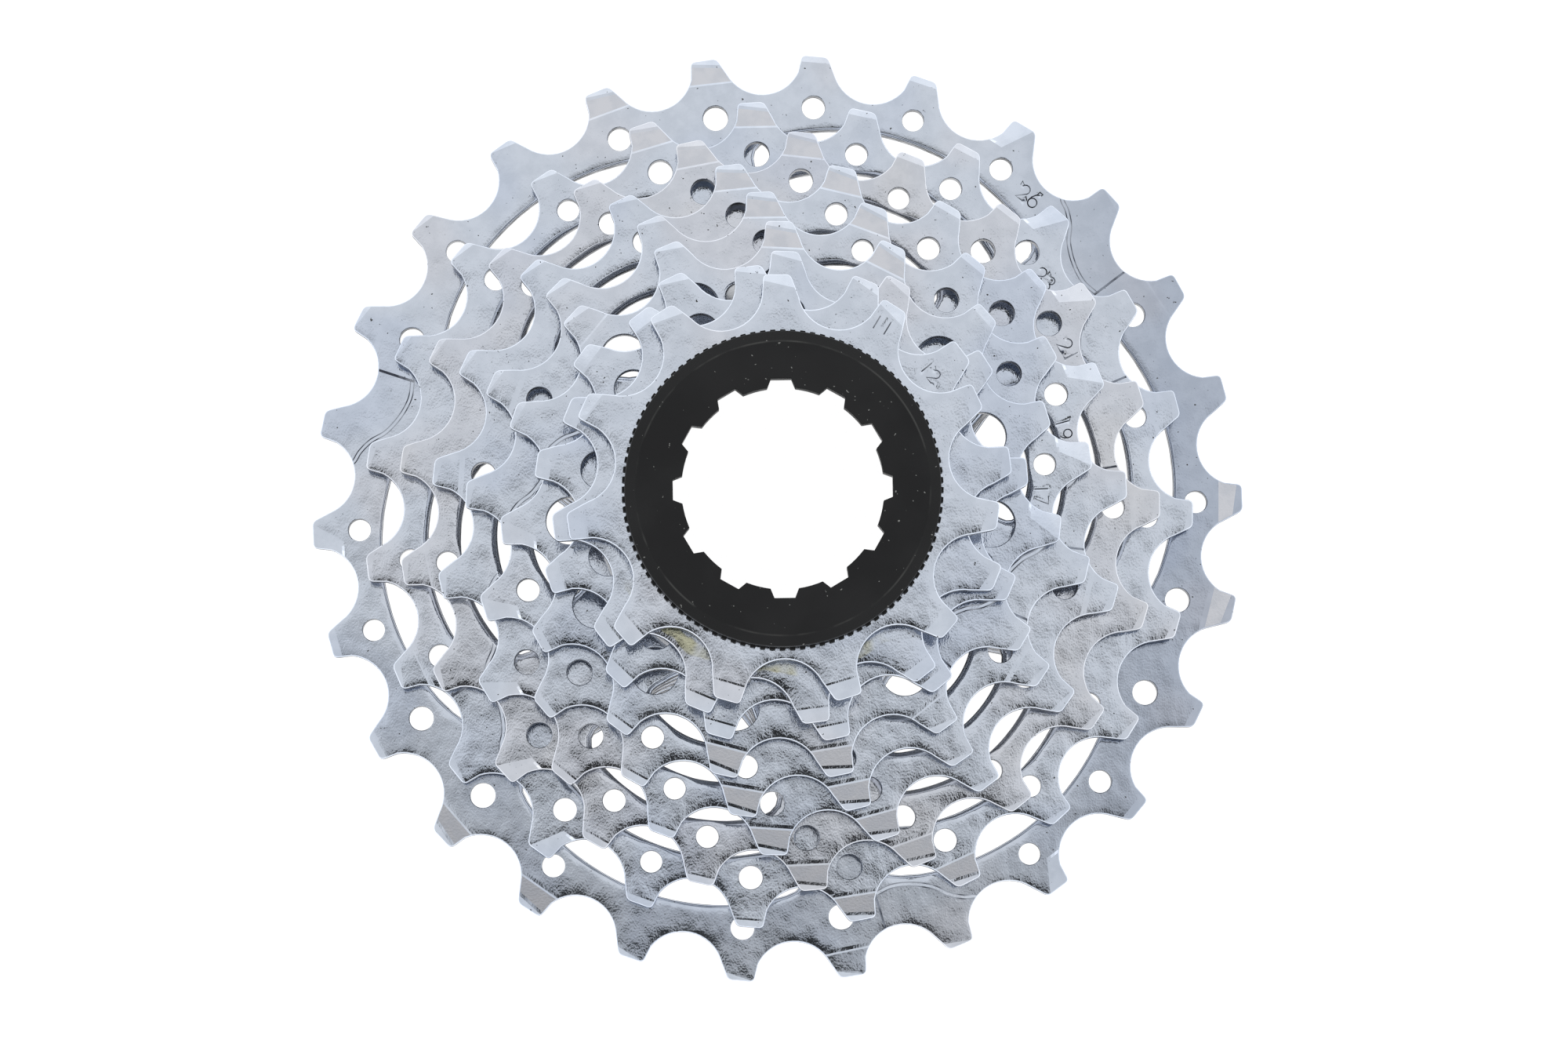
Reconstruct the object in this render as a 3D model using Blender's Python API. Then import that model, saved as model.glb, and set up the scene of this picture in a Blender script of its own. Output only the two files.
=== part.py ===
"""A nine-speed bicycle cassette, lying on its back with its axle on +Z.

Nine toothed plates are stacked with spacer rings between them. The six largest are
riveted into one cluster. The three smallest are loose, and a threaded lockring on a
toothed washer clamps the whole stack onto the splines of a freehub.
Sizes are in millimetres and become metres when a mesh is made.
"""

import math

import bmesh
import bpy
from mathutils import Vector
from mathutils.geometry import tessellate_polygon

METRES_PER_MM = 0.001

# Chain and tooth form
CHAIN_PITCH = 12.7
ROOT_DEPTH = 3.9  # root circle below the pitch circle: half a chain roller
TOOTH_GAP_RADIUS = 4.6
TOOTH_GAP_HALF_ANGLE = 62.0
TIP_BEFORE_AXIS = 1.15  # the tip leans: it reaches less far on its clockwise side
TIP_AFTER_AXIS = 1.85
TIP_CORNER = 0.35

# Stack along the axle
PLATE_THICKNESS = 1.8
SPROCKET_SPACING = 4.34
FACE_GAP = 0.1  # between faces that rest on each other

# Splined bore, made to fit a freehub with nine grooves
SMALLEST_RIM_WIDTH = 1.24  # metal between the bore and the smallest sprocket's root circle
KEY_DEPTH = 1.2
KEY_COUNT = 9
KEY_WIDTH = 4.6
NARROW_KEY_WIDTH = 3.0
FIRST_KEY_ANGLE = 90.0

# Six arms with egg-shaped windows between them
ARM_COUNT = 6
FIRST_WINDOW_ANGLE = 10.0
ARM_WIDTH = 9.6
HUB_RING_WIDTH = 3.0
WINDOW_TAPER = 0.35  # the window is this much wider at the rim and narrower at the hub
WINDOW_SQUARENESS = 2.3  # exponent of the outline, where 2 would be an ellipse

# Small holes under the teeth, which follow the wave of the windows' outer edges
HOLE_RADIUS = 1.35
HOLE_RADIUS_SWING = 0.1

# Spacer rings
SPACER_BORE_CLEARANCE = 0.2
SPACER_WALL = 3.2

# Rivets through the cluster
RIVET_COUNT = 3
FIRST_RIVET_ANGLE = 101.7
RIVET_SHAFT_RADIUS = 1.2
RIVET_SPACER_GAP = 1.4  # from a spacer's rim out to a rivet's shaft
RIVET_HEAD_RADIUS = 1.55
RIVET_HEAD_THICKNESS = 0.6
RIVET_CLEARANCE = 0.15

# Front lip of the smallest sprocket, which the washer rests on
LIP_THICKNESS = 0.9
LIP_CLEARANCE = 0.45  # from the lockring's thread out to the lip and the washer

# Lockring and its toothed washer
THREAD_CLEARANCE = 0.95  # from the key tips in to the lockring's thread
LOCKRING_THICKNESS = 1.9
LOCKRING_CHAMFER_WIDTH = 1.5
LOCKRING_CHAMFER_HEIGHT = 0.5
THREAD_LENGTH = 6.5
TOOL_LAND_RADIUS = 10.9
TOOL_NOTCH_DEPTH = 1.15
TOOL_NOTCH_COUNT = 12
FIRST_NOTCH_ANGLE = 1.0
TOOL_NOTCH_WIDTH = 2.9
TOOL_NOTCH_FLOOR_WIDTH = 2.4
WASHER_THICKNESS = 0.7
WASHER_WALL = 1.5  # from its bore out to the roots of its teeth
WASHER_TOOTH_COUNT = 100
WASHER_TOOTH_DEPTH = 0.5

# Facets of round shapes
GAP_STEPS = 4
HOLE_SIDES = 8
LARGE_HOLE_SIDES = 12
WINDOW_SIDES = 14
RING_SIDES = 32
RIVET_SIDES = 10
SHARP_EDGE_ANGLE = 35.0

# Colours, roughness and metal share of each kind of piece
PLATED_STEEL = dict(colour=(0.60, 0.62, 0.66), roughness=0.3, metallic=1.0)
SPACER_METAL = dict(colour=(0.52, 0.53, 0.55), roughness=0.35, metallic=0.9)
RIVET_METAL = dict(colour=(0.55, 0.56, 0.58), roughness=0.35, metallic=1.0)
BLACK_COATING = dict(colour=(0.025, 0.025, 0.027), roughness=0.45, metallic=0.0)

# Each plate from the back of the stack to the front. The angle is that of its first tooth,
# tip_height is over the pitch circle, rim_width and hole_depth are measured in from the root
# circle, and plain lists the teeth with no hole under them. A collar is a spacer in one piece
# with its plate, and collar_wall is its wall.
WINDOWED_SPROCKETS = (
    dict(teeth=26, angle=2.0, tip_height=0.7, rim_width=3.1, hole_depth=1.4, hole_swing=0.9,
         plain=(1, 3, 9, 12, 18, 21)),
    dict(teeth=23, angle=15.2, tip_height=0.7, rim_width=2.5, hole_depth=1.0, hole_swing=0.6,
         plain=(1, 9, 13, 21)),
    dict(teeth=21, angle=0.5, tip_height=0.7, rim_width=2.3, hole_depth=1.0, hole_swing=0.4,
         plain=(1, 9, 10, 12, 19, 20)),
    dict(teeth=19, angle=3.3, tip_height=0.75, rim_width=2.5, hole_depth=1.0, hole_swing=0.3,
         plain=(0, 8, 10)),
    dict(teeth=17, angle=8.5, tip_height=0.8, rim_width=2.5, hole_depth=0.9, hole_swing=0.3,
         plain=(6, 8, 14, 16)),
)
PERFORATED_SPROCKETS = (
    dict(teeth=15, angle=17.7, tip_height=0.9, hole_depth=2.95, hole_radius=2.65, plain=(6, 11, 13)),
    dict(teeth=13, angle=5.4, tip_height=1.0, hole_depth=2.2, hole_radius=2.1, plain=(0, 1, 10, 11, 12)),
)
COLLARED_SPROCKETS = (
    dict(teeth=12, angle=7.8, tip_height=1.05, collar_wall=2.2),
    dict(teeth=11, angle=25.2, tip_height=1.4, collar_wall=1.0),
)
FLAT_SPROCKETS = WINDOWED_SPROCKETS + PERFORATED_SPROCKETS
SPROCKETS = FLAT_SPROCKETS + COLLARED_SPROCKETS
LAST_RIVETED = len(WINDOWED_SPROCKETS)  # place of the frontmost plate that the rivets hold


def pitch_radius(teeth):
    return CHAIN_PITCH / (2 * math.sin(math.pi / teeth))


def root_radius(teeth):
    return pitch_radius(teeth) - ROOT_DEPTH


# Sizes that follow from those above
BORE_RADIUS = root_radius(SPROCKETS[-1]["teeth"]) - SMALLEST_RIM_WIDTH
SPACER_THICKNESS = SPROCKET_SPACING - PLATE_THICKNESS - 2 * FACE_GAP
COLLAR_HEIGHT = SPROCKET_SPACING - PLATE_THICKNESS - FACE_GAP
KEY_TIP_RADIUS = BORE_RADIUS - KEY_DEPTH
SPACER_BORE_RADIUS = BORE_RADIUS + SPACER_BORE_CLEARANCE
SPACER_RADIUS = SPACER_BORE_RADIUS + SPACER_WALL
THREAD_RADIUS = KEY_TIP_RADIUS - THREAD_CLEARANCE
LIP_RADIUS = THREAD_RADIUS + LIP_CLEARANCE
WASHER_ROOT_RADIUS = LIP_RADIUS + WASHER_WALL
LOCKRING_RADIUS = WASHER_ROOT_RADIUS + WASHER_TOOTH_DEPTH
RIVET_CIRCLE_RADIUS = SPACER_RADIUS + RIVET_SPACER_GAP + RIVET_SHAFT_RADIUS
RIVET_HOLE_RADIUS = RIVET_SHAFT_RADIUS + RIVET_CLEARANCE
RIVET_RECESS_RADIUS = RIVET_HEAD_RADIUS + RIVET_CLEARANCE
RIVET_RECESS_DEPTH = RIVET_HEAD_THICKNESS + 2 * FACE_GAP
FRONT_OF_STACK = (len(SPROCKETS) - 1) * SPROCKET_SPACING + PLATE_THICKNESS


class Shell:
    """Flat caps and side walls on shared points, which together close one body."""

    def __init__(self):
        self.points = []
        self.index_of = {}
        self.faces = []

    def point(self, x, y, z):
        key = (round(x, 5), round(y, 5), round(z, 5))
        if key not in self.index_of:
            self.index_of[key] = len(self.points)
            self.points.append((x, y, z))
        return self.index_of[key]

    def ring(self, loop, z):
        return [self.point(x, y, z) for x, y in loop]

    def wall(self, low_loop, low_z, high_loop, high_z):
        """A wall between two loops with as many points each."""
        low = self.ring(low_loop, low_z)
        high = self.ring(high_loop, high_z)
        for i in range(len(low)):
            self.faces.append((low[i - 1], low[i], high[i], high[i - 1]))

    def straight_wall(self, loop, low_z, high_z):
        self.wall(loop, low_z, loop, high_z)

    def cap(self, outer, holes, z):
        """A flat face inside the outer loop, with the holes left open."""
        loops = [outer, *holes]
        corners = [i for loop in loops for i in self.ring(loop, z)]
        outlines = [[Vector((x, y, 0)) for x, y in loop] for loop in loops]
        for triangle in tessellate_polygon(outlines):
            self.faces.append(tuple(corners[i] for i in triangle))

    def to_object(self, name, material, base_z=0.0):
        """Makes the object with its origin on the axle at base_z."""
        mesh = bpy.data.meshes.new(name)
        points = [Vector((x, y, z - base_z)) * METRES_PER_MM for x, y, z in self.points]
        mesh.from_pydata(points, [], self.faces)
        work = bmesh.new()
        work.from_mesh(mesh)
        bmesh.ops.recalc_face_normals(work, faces=work.faces)
        work.to_mesh(mesh)
        work.free()
        mesh.shade_smooth()
        mesh.set_sharp_from_angle(angle=math.radians(SHARP_EDGE_ANGLE))
        mesh.materials.append(material)
        part = bpy.data.objects.new(name, mesh)
        part.location.z = base_z * METRES_PER_MM
        bpy.context.scene.collection.objects.link(part)
        return part


def new_material(name, colour, roughness, metallic):
    material = bpy.data.materials.new(name)
    material.use_nodes = True
    shader = material.node_tree.nodes["Principled BSDF"]
    shader.inputs["Base Color"].default_value = (*colour, 1)
    shader.inputs["Roughness"].default_value = roughness
    shader.inputs["Metallic"].default_value = metallic
    return material


def polar(radius, degrees):
    angle = math.radians(degrees)
    return radius * math.cos(angle), radius * math.sin(angle)


def local_to_plate(across, outward, degrees):
    """A point given across and outward along the direction at this angle."""
    angle = math.radians(degrees)
    x = outward * math.cos(angle) - across * math.sin(angle)
    y = outward * math.sin(angle) + across * math.cos(angle)
    return x, y


def circle(radius, sides, centre=(0.0, 0.0)):
    ring = [polar(radius, 360 * i / sides) for i in range(sides)]
    return [(centre[0] + x, centre[1] + y) for x, y in ring]


def tooth_angle(sprocket, index):
    return sprocket["angle"] + index * 360 / sprocket["teeth"]


def tooth_outline(sprocket):
    """Round gaps that seat the chain's rollers, with straight flanks up to flat tips."""
    teeth = sprocket["teeth"]
    tip = pitch_radius(teeth) + sprocket["tip_height"]
    gap_centre = root_radius(teeth) + TOOTH_GAP_RADIUS
    outline = []
    for index in range(teeth):
        axis = tooth_angle(sprocket, index)
        outline.append(local_to_plate(-TIP_BEFORE_AXIS, tip - TIP_CORNER, axis))
        outline.append(local_to_plate(TIP_CORNER - TIP_BEFORE_AXIS, tip, axis))
        outline.append(local_to_plate(TIP_AFTER_AXIS - TIP_CORNER, tip, axis))
        outline.append(local_to_plate(TIP_AFTER_AXIS, tip - TIP_CORNER, axis))
        gap_axis = axis + 180 / teeth
        for step in range(GAP_STEPS + 1):
            swing = math.radians(TOOTH_GAP_HALF_ANGLE * (2 * step / GAP_STEPS - 1))
            across = TOOTH_GAP_RADIUS * math.sin(swing)
            outward = gap_centre - TOOTH_GAP_RADIUS * math.cos(swing)
            outline.append(local_to_plate(across, outward, gap_axis))
    return outline


def keyed_bore():
    """The bore with its inward keys. The first key is narrow, so that it fits one way only."""
    loop = []
    for index in range(KEY_COUNT):
        axis = FIRST_KEY_ANGLE + index * 360 / KEY_COUNT
        half = (NARROW_KEY_WIDTH if index == 0 else KEY_WIDTH) / 2
        shoulder = math.sqrt(BORE_RADIUS**2 - half**2)
        loop.append(local_to_plate(-half, shoulder, axis))
        loop.append(local_to_plate(-half, KEY_TIP_RADIUS, axis))
        loop.append(local_to_plate(half, KEY_TIP_RADIUS, axis))
        loop.append(local_to_plate(half, shoulder, axis))
        loop.append(polar(BORE_RADIUS, axis + 180 / KEY_COUNT))
    return loop


def arm_window(sprocket, index):
    """An egg-shaped window between two arms, wider at the rim than at the hub."""
    axis = FIRST_WINDOW_ANGLE + index * 360 / ARM_COUNT
    inner = BORE_RADIUS + HUB_RING_WIDTH
    outer = root_radius(sprocket["teeth"]) - sprocket["rim_width"]
    middle = (inner + outer) / 2
    half_height = (outer - inner) / 2
    half_angle = math.pi / ARM_COUNT - math.asin(ARM_WIDTH / 2 / middle)
    half_width = middle * math.tan(half_angle)
    power = 2 / WINDOW_SQUARENESS
    loop = []
    for step in range(WINDOW_SIDES):
        turn = 2 * math.pi * step / WINDOW_SIDES
        out = math.copysign(abs(math.sin(turn)) ** power, math.sin(turn))
        side = math.copysign(abs(math.cos(turn)) ** power, math.cos(turn))
        across = half_width * side * (1 + WINDOW_TAPER * out)
        loop.append(local_to_plate(across, middle + half_height * out, axis))
    return loop


def small_holes(sprocket):
    """Holes under the teeth. They move out, and shrink, where a window's edge moves out."""
    loops = []
    for index in range(sprocket["teeth"]):
        if index in sprocket["plain"]:
            continue
        angle = tooth_angle(sprocket, index)
        wave = math.cos(ARM_COUNT * math.radians(angle - FIRST_WINDOW_ANGLE))
        distance = root_radius(sprocket["teeth"]) - sprocket["hole_depth"]
        distance += sprocket["hole_swing"] * wave
        radius = HOLE_RADIUS - HOLE_RADIUS_SWING * wave
        loops.append(circle(radius, HOLE_SIDES, polar(distance, angle)))
    return loops


def large_holes(sprocket):
    """Round windows under the teeth of a small sprocket that has no arms."""
    distance = root_radius(sprocket["teeth"]) - sprocket["hole_depth"]
    open_teeth = [i for i in range(sprocket["teeth"]) if i not in sprocket["plain"]]
    centres = [polar(distance, tooth_angle(sprocket, i)) for i in open_teeth]
    return [circle(sprocket["hole_radius"], LARGE_HOLE_SIDES, centre) for centre in centres]


def rivet_circles(radius):
    angles = [FIRST_RIVET_ANGLE + i * 360 / RIVET_COUNT for i in range(RIVET_COUNT)]
    return [circle(radius, RIVET_SIDES, polar(RIVET_CIRCLE_RADIUS, angle)) for angle in angles]


def sprocket_base(place):
    return place * SPROCKET_SPACING


def build_plate(sprocket, place, openings, material):
    """A flat sprocket. The backmost and frontmost riveted plates take the rivets' heads."""
    low = sprocket_base(place)
    high = low + PLATE_THICKNESS
    outline = tooth_outline(sprocket)
    shafts = rivet_circles(RIVET_HOLE_RADIUS) if place <= LAST_RIVETED else []
    heads = rivet_circles(RIVET_RECESS_RADIUS)
    back_holes = heads if place == 0 else shafts
    front_holes = heads if place == LAST_RIVETED else shafts
    step = low + RIVET_RECESS_DEPTH if place == 0 else high - RIVET_RECESS_DEPTH
    shell = Shell()
    for loop in [outline, *openings]:
        shell.straight_wall(loop, low, high)
    for shaft, behind, ahead in zip(shafts, back_holes, front_holes):
        shell.straight_wall(behind, low, step)
        shell.straight_wall(ahead, step, high)
        for head in (behind, ahead):
            if head is not shaft:
                shell.cap(head, [shaft], step)
    shell.cap(outline, openings + back_holes, low)
    shell.cap(outline, openings + front_holes, high)
    return shell.to_object(f"sprocket_{sprocket['teeth']}t", material, low)


def build_collared_sprocket(sprocket, place, material, front_lip):
    """A small sprocket with its own spacer collar behind it, in one piece."""
    low = sprocket_base(place)
    high = low + PLATE_THICKNESS
    collar_low = low - COLLAR_HEIGHT
    outline = tooth_outline(sprocket)
    bore = keyed_bore()
    collar = circle(BORE_RADIUS + sprocket["collar_wall"], RING_SIDES)
    shell = Shell()
    shell.cap(collar, [bore], collar_low)
    shell.straight_wall(collar, collar_low, low)
    shell.cap(outline, [collar], low)
    shell.straight_wall(outline, low, high)
    if front_lip:
        lip = circle(LIP_RADIUS, RING_SIDES)
        bore_high = high - LIP_THICKNESS
        shell.cap(bore, [lip], bore_high)
        shell.straight_wall(lip, bore_high, high)
        shell.cap(outline, [lip], high)
    else:
        bore_high = high
        shell.cap(outline, [bore], high)
    shell.straight_wall(bore, collar_low, bore_high)
    return shell.to_object(f"sprocket_{sprocket['teeth']}t", material, collar_low)


def build_spacer(place, material):
    """A plain ring between the sprocket at this place and the next one."""
    low = sprocket_base(place) + PLATE_THICKNESS + FACE_GAP
    high = low + SPACER_THICKNESS
    outer = circle(SPACER_RADIUS, RING_SIDES)
    inner = circle(SPACER_BORE_RADIUS, RING_SIDES)
    shell = Shell()
    shell.straight_wall(outer, low, high)
    shell.straight_wall(inner, low, high)
    shell.cap(outer, [inner], low)
    shell.cap(outer, [inner], high)
    behind = SPROCKETS[place]["teeth"]
    ahead = SPROCKETS[place + 1]["teeth"]
    return shell.to_object(f"spacer_{behind}t_{ahead}t", material, low)


def build_rivet(index, material):
    """A rivet with a head sunk in the back plate and one in the front plate of the cluster."""
    shaft = rivet_circles(RIVET_SHAFT_RADIUS)[index]
    head = rivet_circles(RIVET_HEAD_RADIUS)[index]
    low = FACE_GAP
    high = sprocket_base(LAST_RIVETED) + PLATE_THICKNESS - FACE_GAP
    shaft_low = low + RIVET_HEAD_THICKNESS
    shaft_high = high - RIVET_HEAD_THICKNESS
    shell = Shell()
    shell.cap(head, [], low)
    shell.straight_wall(head, low, shaft_low)
    shell.cap(head, [shaft], shaft_low)
    shell.straight_wall(shaft, shaft_low, shaft_high)
    shell.cap(head, [shaft], shaft_high)
    shell.straight_wall(head, shaft_high, high)
    shell.cap(head, [], high)
    return shell.to_object(f"rivet_{index + 1}", material)


def build_washer(material):
    """The toothed ring that shows under the lockring's rim."""
    low = FRONT_OF_STACK + FACE_GAP
    high = low + WASHER_THICKNESS
    outer = []
    for index in range(WASHER_TOOTH_COUNT):
        angle = index * 360 / WASHER_TOOTH_COUNT
        outer.append(polar(LOCKRING_RADIUS, angle))
        outer.append(polar(WASHER_ROOT_RADIUS, angle + 180 / WASHER_TOOTH_COUNT))
    inner = circle(LIP_RADIUS, RING_SIDES)
    shell = Shell()
    shell.straight_wall(outer, low, high)
    shell.straight_wall(inner, low, high)
    shell.cap(outer, [inner], low)
    shell.cap(outer, [inner], high)
    return shell.to_object("lockring_washer", material, low)


def tool_bore():
    """The notched hole that the lockring tool fits."""
    floor = TOOL_LAND_RADIUS + TOOL_NOTCH_DEPTH
    mouth_half = TOOL_NOTCH_WIDTH / 2
    floor_half = TOOL_NOTCH_FLOOR_WIDTH / 2
    mouth = math.sqrt(TOOL_LAND_RADIUS**2 - mouth_half**2)
    loop = []
    for index in range(TOOL_NOTCH_COUNT):
        axis = FIRST_NOTCH_ANGLE + index * 360 / TOOL_NOTCH_COUNT
        loop.append(local_to_plate(-mouth_half, mouth, axis))
        loop.append(local_to_plate(-floor_half, floor, axis))
        loop.append(local_to_plate(floor_half, floor, axis))
        loop.append(local_to_plate(mouth_half, mouth, axis))
    return loop


def build_lockring(material):
    """A flange with a chamfered rim on a sleeve whose outside is the thread's size."""
    low = FRONT_OF_STACK + 2 * FACE_GAP + WASHER_THICKNESS
    high = low + LOCKRING_THICKNESS
    sleeve_low = low - THREAD_LENGTH
    rim = circle(LOCKRING_RADIUS, RING_SIDES)
    crest = circle(LOCKRING_RADIUS - LOCKRING_CHAMFER_WIDTH, RING_SIDES)
    sleeve = circle(THREAD_RADIUS, RING_SIDES)
    bore = tool_bore()
    shell = Shell()
    shell.cap(sleeve, [bore], sleeve_low)
    shell.straight_wall(sleeve, sleeve_low, low)
    shell.cap(rim, [sleeve], low)
    shell.straight_wall(rim, low, high - LOCKRING_CHAMFER_HEIGHT)
    shell.wall(rim, high - LOCKRING_CHAMFER_HEIGHT, crest, high)
    shell.cap(crest, [bore], high)
    shell.straight_wall(bore, sleeve_low, high)
    return shell.to_object("lockring", material, low)


def clear_scene():
    for old in list(bpy.data.objects):
        bpy.data.objects.remove(old)


def main():
    clear_scene()
    for place, sprocket in enumerate(FLAT_SPROCKETS):
        openings = [keyed_bore()]
        if sprocket in WINDOWED_SPROCKETS:
            openings += [arm_window(sprocket, index) for index in range(ARM_COUNT)]
            openings += small_holes(sprocket)
        else:
            openings += large_holes(sprocket)
        steel = new_material(f"steel_{sprocket['teeth']}t", **PLATED_STEEL)
        build_plate(sprocket, place, openings, steel)
    for sprocket in COLLARED_SPROCKETS:
        steel = new_material(f"steel_{sprocket['teeth']}t", **PLATED_STEEL)
        frontmost = sprocket is SPROCKETS[-1]
        build_collared_sprocket(sprocket, SPROCKETS.index(sprocket), steel, front_lip=frontmost)
    for place in range(len(FLAT_SPROCKETS) - 1):
        build_spacer(place, new_material(f"spacer_metal_{place + 1}", **SPACER_METAL))
    for index in range(RIVET_COUNT):
        build_rivet(index, new_material(f"rivet_metal_{index + 1}", **RIVET_METAL))
    build_washer(new_material("washer_black", **BLACK_COATING))
    build_lockring(new_material("lockring_black", **BLACK_COATING))


main()
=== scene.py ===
# %% [markdown]
# # A nine-speed bicycle cassette
# A cassette is the stack of sprockets on a bicycle's rear hub. Nine stamped and plated steel
# plates sit on one splined bore with spacer rings between them, and a black lockring screws the
# stack down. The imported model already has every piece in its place. This lesson remakes each
# piece in the same place and of the same size, with the edges, facets and finish of the real one.

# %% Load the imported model
import math

import bpy
import numpy as np
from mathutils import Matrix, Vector
from mathutils.geometry import delaunay_2d_cdt


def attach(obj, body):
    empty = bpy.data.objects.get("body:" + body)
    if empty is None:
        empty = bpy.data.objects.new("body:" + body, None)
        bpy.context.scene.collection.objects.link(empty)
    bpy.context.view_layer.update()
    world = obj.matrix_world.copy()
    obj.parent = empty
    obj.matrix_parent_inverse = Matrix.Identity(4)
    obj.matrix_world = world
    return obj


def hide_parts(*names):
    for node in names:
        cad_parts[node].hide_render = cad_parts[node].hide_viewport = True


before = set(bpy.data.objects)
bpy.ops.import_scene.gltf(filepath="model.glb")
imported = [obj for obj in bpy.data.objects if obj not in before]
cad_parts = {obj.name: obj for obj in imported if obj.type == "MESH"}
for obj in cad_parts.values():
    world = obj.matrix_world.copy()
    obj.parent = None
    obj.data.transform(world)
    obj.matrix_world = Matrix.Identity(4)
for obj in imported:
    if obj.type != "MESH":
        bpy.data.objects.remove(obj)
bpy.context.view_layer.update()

# %% [markdown]
# ## The camera
# The cassette lies on its back on a table and is seen from above with a long lens, which leans a
# little towards the near side. Blender's camera looks down its own -Z, so two small turns about X
# and Y are all it needs. The lens follows from the picture's width and a focal length in pixels.

# %% Camera
MM = 0.001
PHOTO_WIDTH = 2000
FOCAL_PIXELS = 9432
SENSOR_WIDTH = 36.0
CAMERA_PLACE = (-12.06, -69.54, 847.07)
CAMERA_LEAN = (4.644, -0.863, 0.0)

camera_data = bpy.data.cameras.new("long_lens")
camera_data.sensor_width = SENSOR_WIDTH
camera_data.lens = FOCAL_PIXELS / PHOTO_WIDTH * SENSOR_WIDTH
camera = bpy.data.objects.new("long_lens", camera_data)
camera.location = Vector(CAMERA_PLACE) * MM
camera.rotation_euler = [math.radians(turn) for turn in CAMERA_LEAN]
bpy.context.scene.collection.objects.link(camera)
bpy.context.scene.camera = camera
bpy.context.scene.view_settings.view_transform = "Standard"
print("lens in millimetres:", round(camera_data.lens, 1))

# %% [markdown]
# ## Nodes by name
# Materials and the sky are both built from shader nodes. One helper adds a node, sets its options
# and fills its sockets. A value goes into the socket, and an output of another node is linked.


# %% Node helper
def new_node(tree, kind, sockets=None, **options):
    """Adds a node to the tree with its options set and its sockets filled or linked."""
    node = tree.nodes.new(kind)
    for name, value in options.items():
        setattr(node, name, value)
    for socket, value in (sockets or {}).items():
        if isinstance(value, bpy.types.NodeSocket):
            tree.links.new(value, node.inputs[socket])
        else:
            node.inputs[socket].default_value = value
    return node


def math_node(tree, operation, first, second=0.0, clamp=False):
    """The result of one sum on two values."""
    node = new_node(tree, "ShaderNodeMath", {0: first, 1: second}, operation=operation, use_clamp=clamp)
    return node.outputs[0]


def smooth_range(tree, value, low, high, start=0.0, end=1.0):
    """A value that goes smoothly from start to end while the input goes from low to high."""
    sockets = {"Value": value, "From Min": low, "From Max": high, "To Min": start, "To Max": end}
    node = new_node(tree, "ShaderNodeMapRange", sockets, interpolation_type="SMOOTHSTEP")
    return node.outputs["Result"]


print("node helpers:", [helper.__name__ for helper in (new_node, math_node, smooth_range)])

# %% [markdown]
# ## The studio
# Bright metal has hardly any colour of its own: it shows what stands around it. So the studio has
# a pale ceiling, a brighter wall behind the cassette, a bright ring all round at table height, and
# the camera overhead, which is a dark disc with a soft edge in the middle of a dim patch. The sky is
# made from the direction of each ray, so it gives the same picture every time.

# %% Studio sky
CEILING_LIGHT = 0.85
BACK_LIGHT = 1.1
RING_LIGHT = 1.12
BACK_RANGE = (0.35, 0.62)
RING_RANGE = (0.68, 0.48)
SKY_TINT = (0.97, 0.985, 1.0, 1)
CAMERA_DEGREES = (-0.8, -4.7)
DARK_DISCS = (
    dict(core=4.5, rim=5.7, darkness=0.94),
    dict(core=5.5, rim=11.0, darkness=0.42),
)

world = bpy.data.worlds.new("studio")
bpy.context.scene.world = world
world.use_nodes = True
sky = world.node_tree
sky.nodes.clear()
direction = new_node(sky, "ShaderNodeTexCoord").outputs["Generated"]
axes = new_node(sky, "ShaderNodeSeparateXYZ", {0: direction}).outputs
ceiling = smooth_range(sky, axes["Y"], *BACK_RANGE, CEILING_LIGHT, BACK_LIGHT)
low_ring = smooth_range(sky, axes["Z"], *RING_RANGE, 0.0, RING_LIGHT)
studio_light = math_node(sky, "MAXIMUM", ceiling, low_ring)
across, along = (math.tan(math.radians(angle)) for angle in CAMERA_DEGREES)
to_camera = Vector((across, along, 1)).normalized()
facing = new_node(sky, "ShaderNodeVectorMath", {0: direction, 1: to_camera}, operation="DOT_PRODUCT")
for disc in DARK_DISCS:
    rim, core = (math.cos(math.radians(disc[edge])) for edge in ("rim", "core"))
    shade = smooth_range(sky, facing.outputs["Value"], rim, core, 1.0, 1.0 - disc["darkness"])
    studio_light = math_node(sky, "MULTIPLY", studio_light, shade)
studio = new_node(sky, "ShaderNodeBackground", {"Color": SKY_TINT, "Strength": studio_light})
new_node(sky, "ShaderNodeOutputWorld", {"Surface": studio.outputs[0]})
print("sky nodes:", len(sky.nodes))

# %% [markdown]
# ## The table
# The table is one large pale plane. A glow that only the camera and mirror-like metal see keeps it
# white. The rest of its colour is lit, so it still holds the cassette's soft shadow. It lies a hair
# lower than the cassette, since two faces in one plane would flicker. It is clear from below, so
# that the cassette's back can be looked at too.

# %% Table
TABLE_SIZE = 6.0
TABLE_GLOW = 0.96
TABLE_DROP = 0.1
TABLE_GREY = (0.5, 0.5, 0.5, 1)
TABLE_ROUGHNESS = 0.9
GLOW_WHITE = (1, 1, 1, 1)

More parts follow.
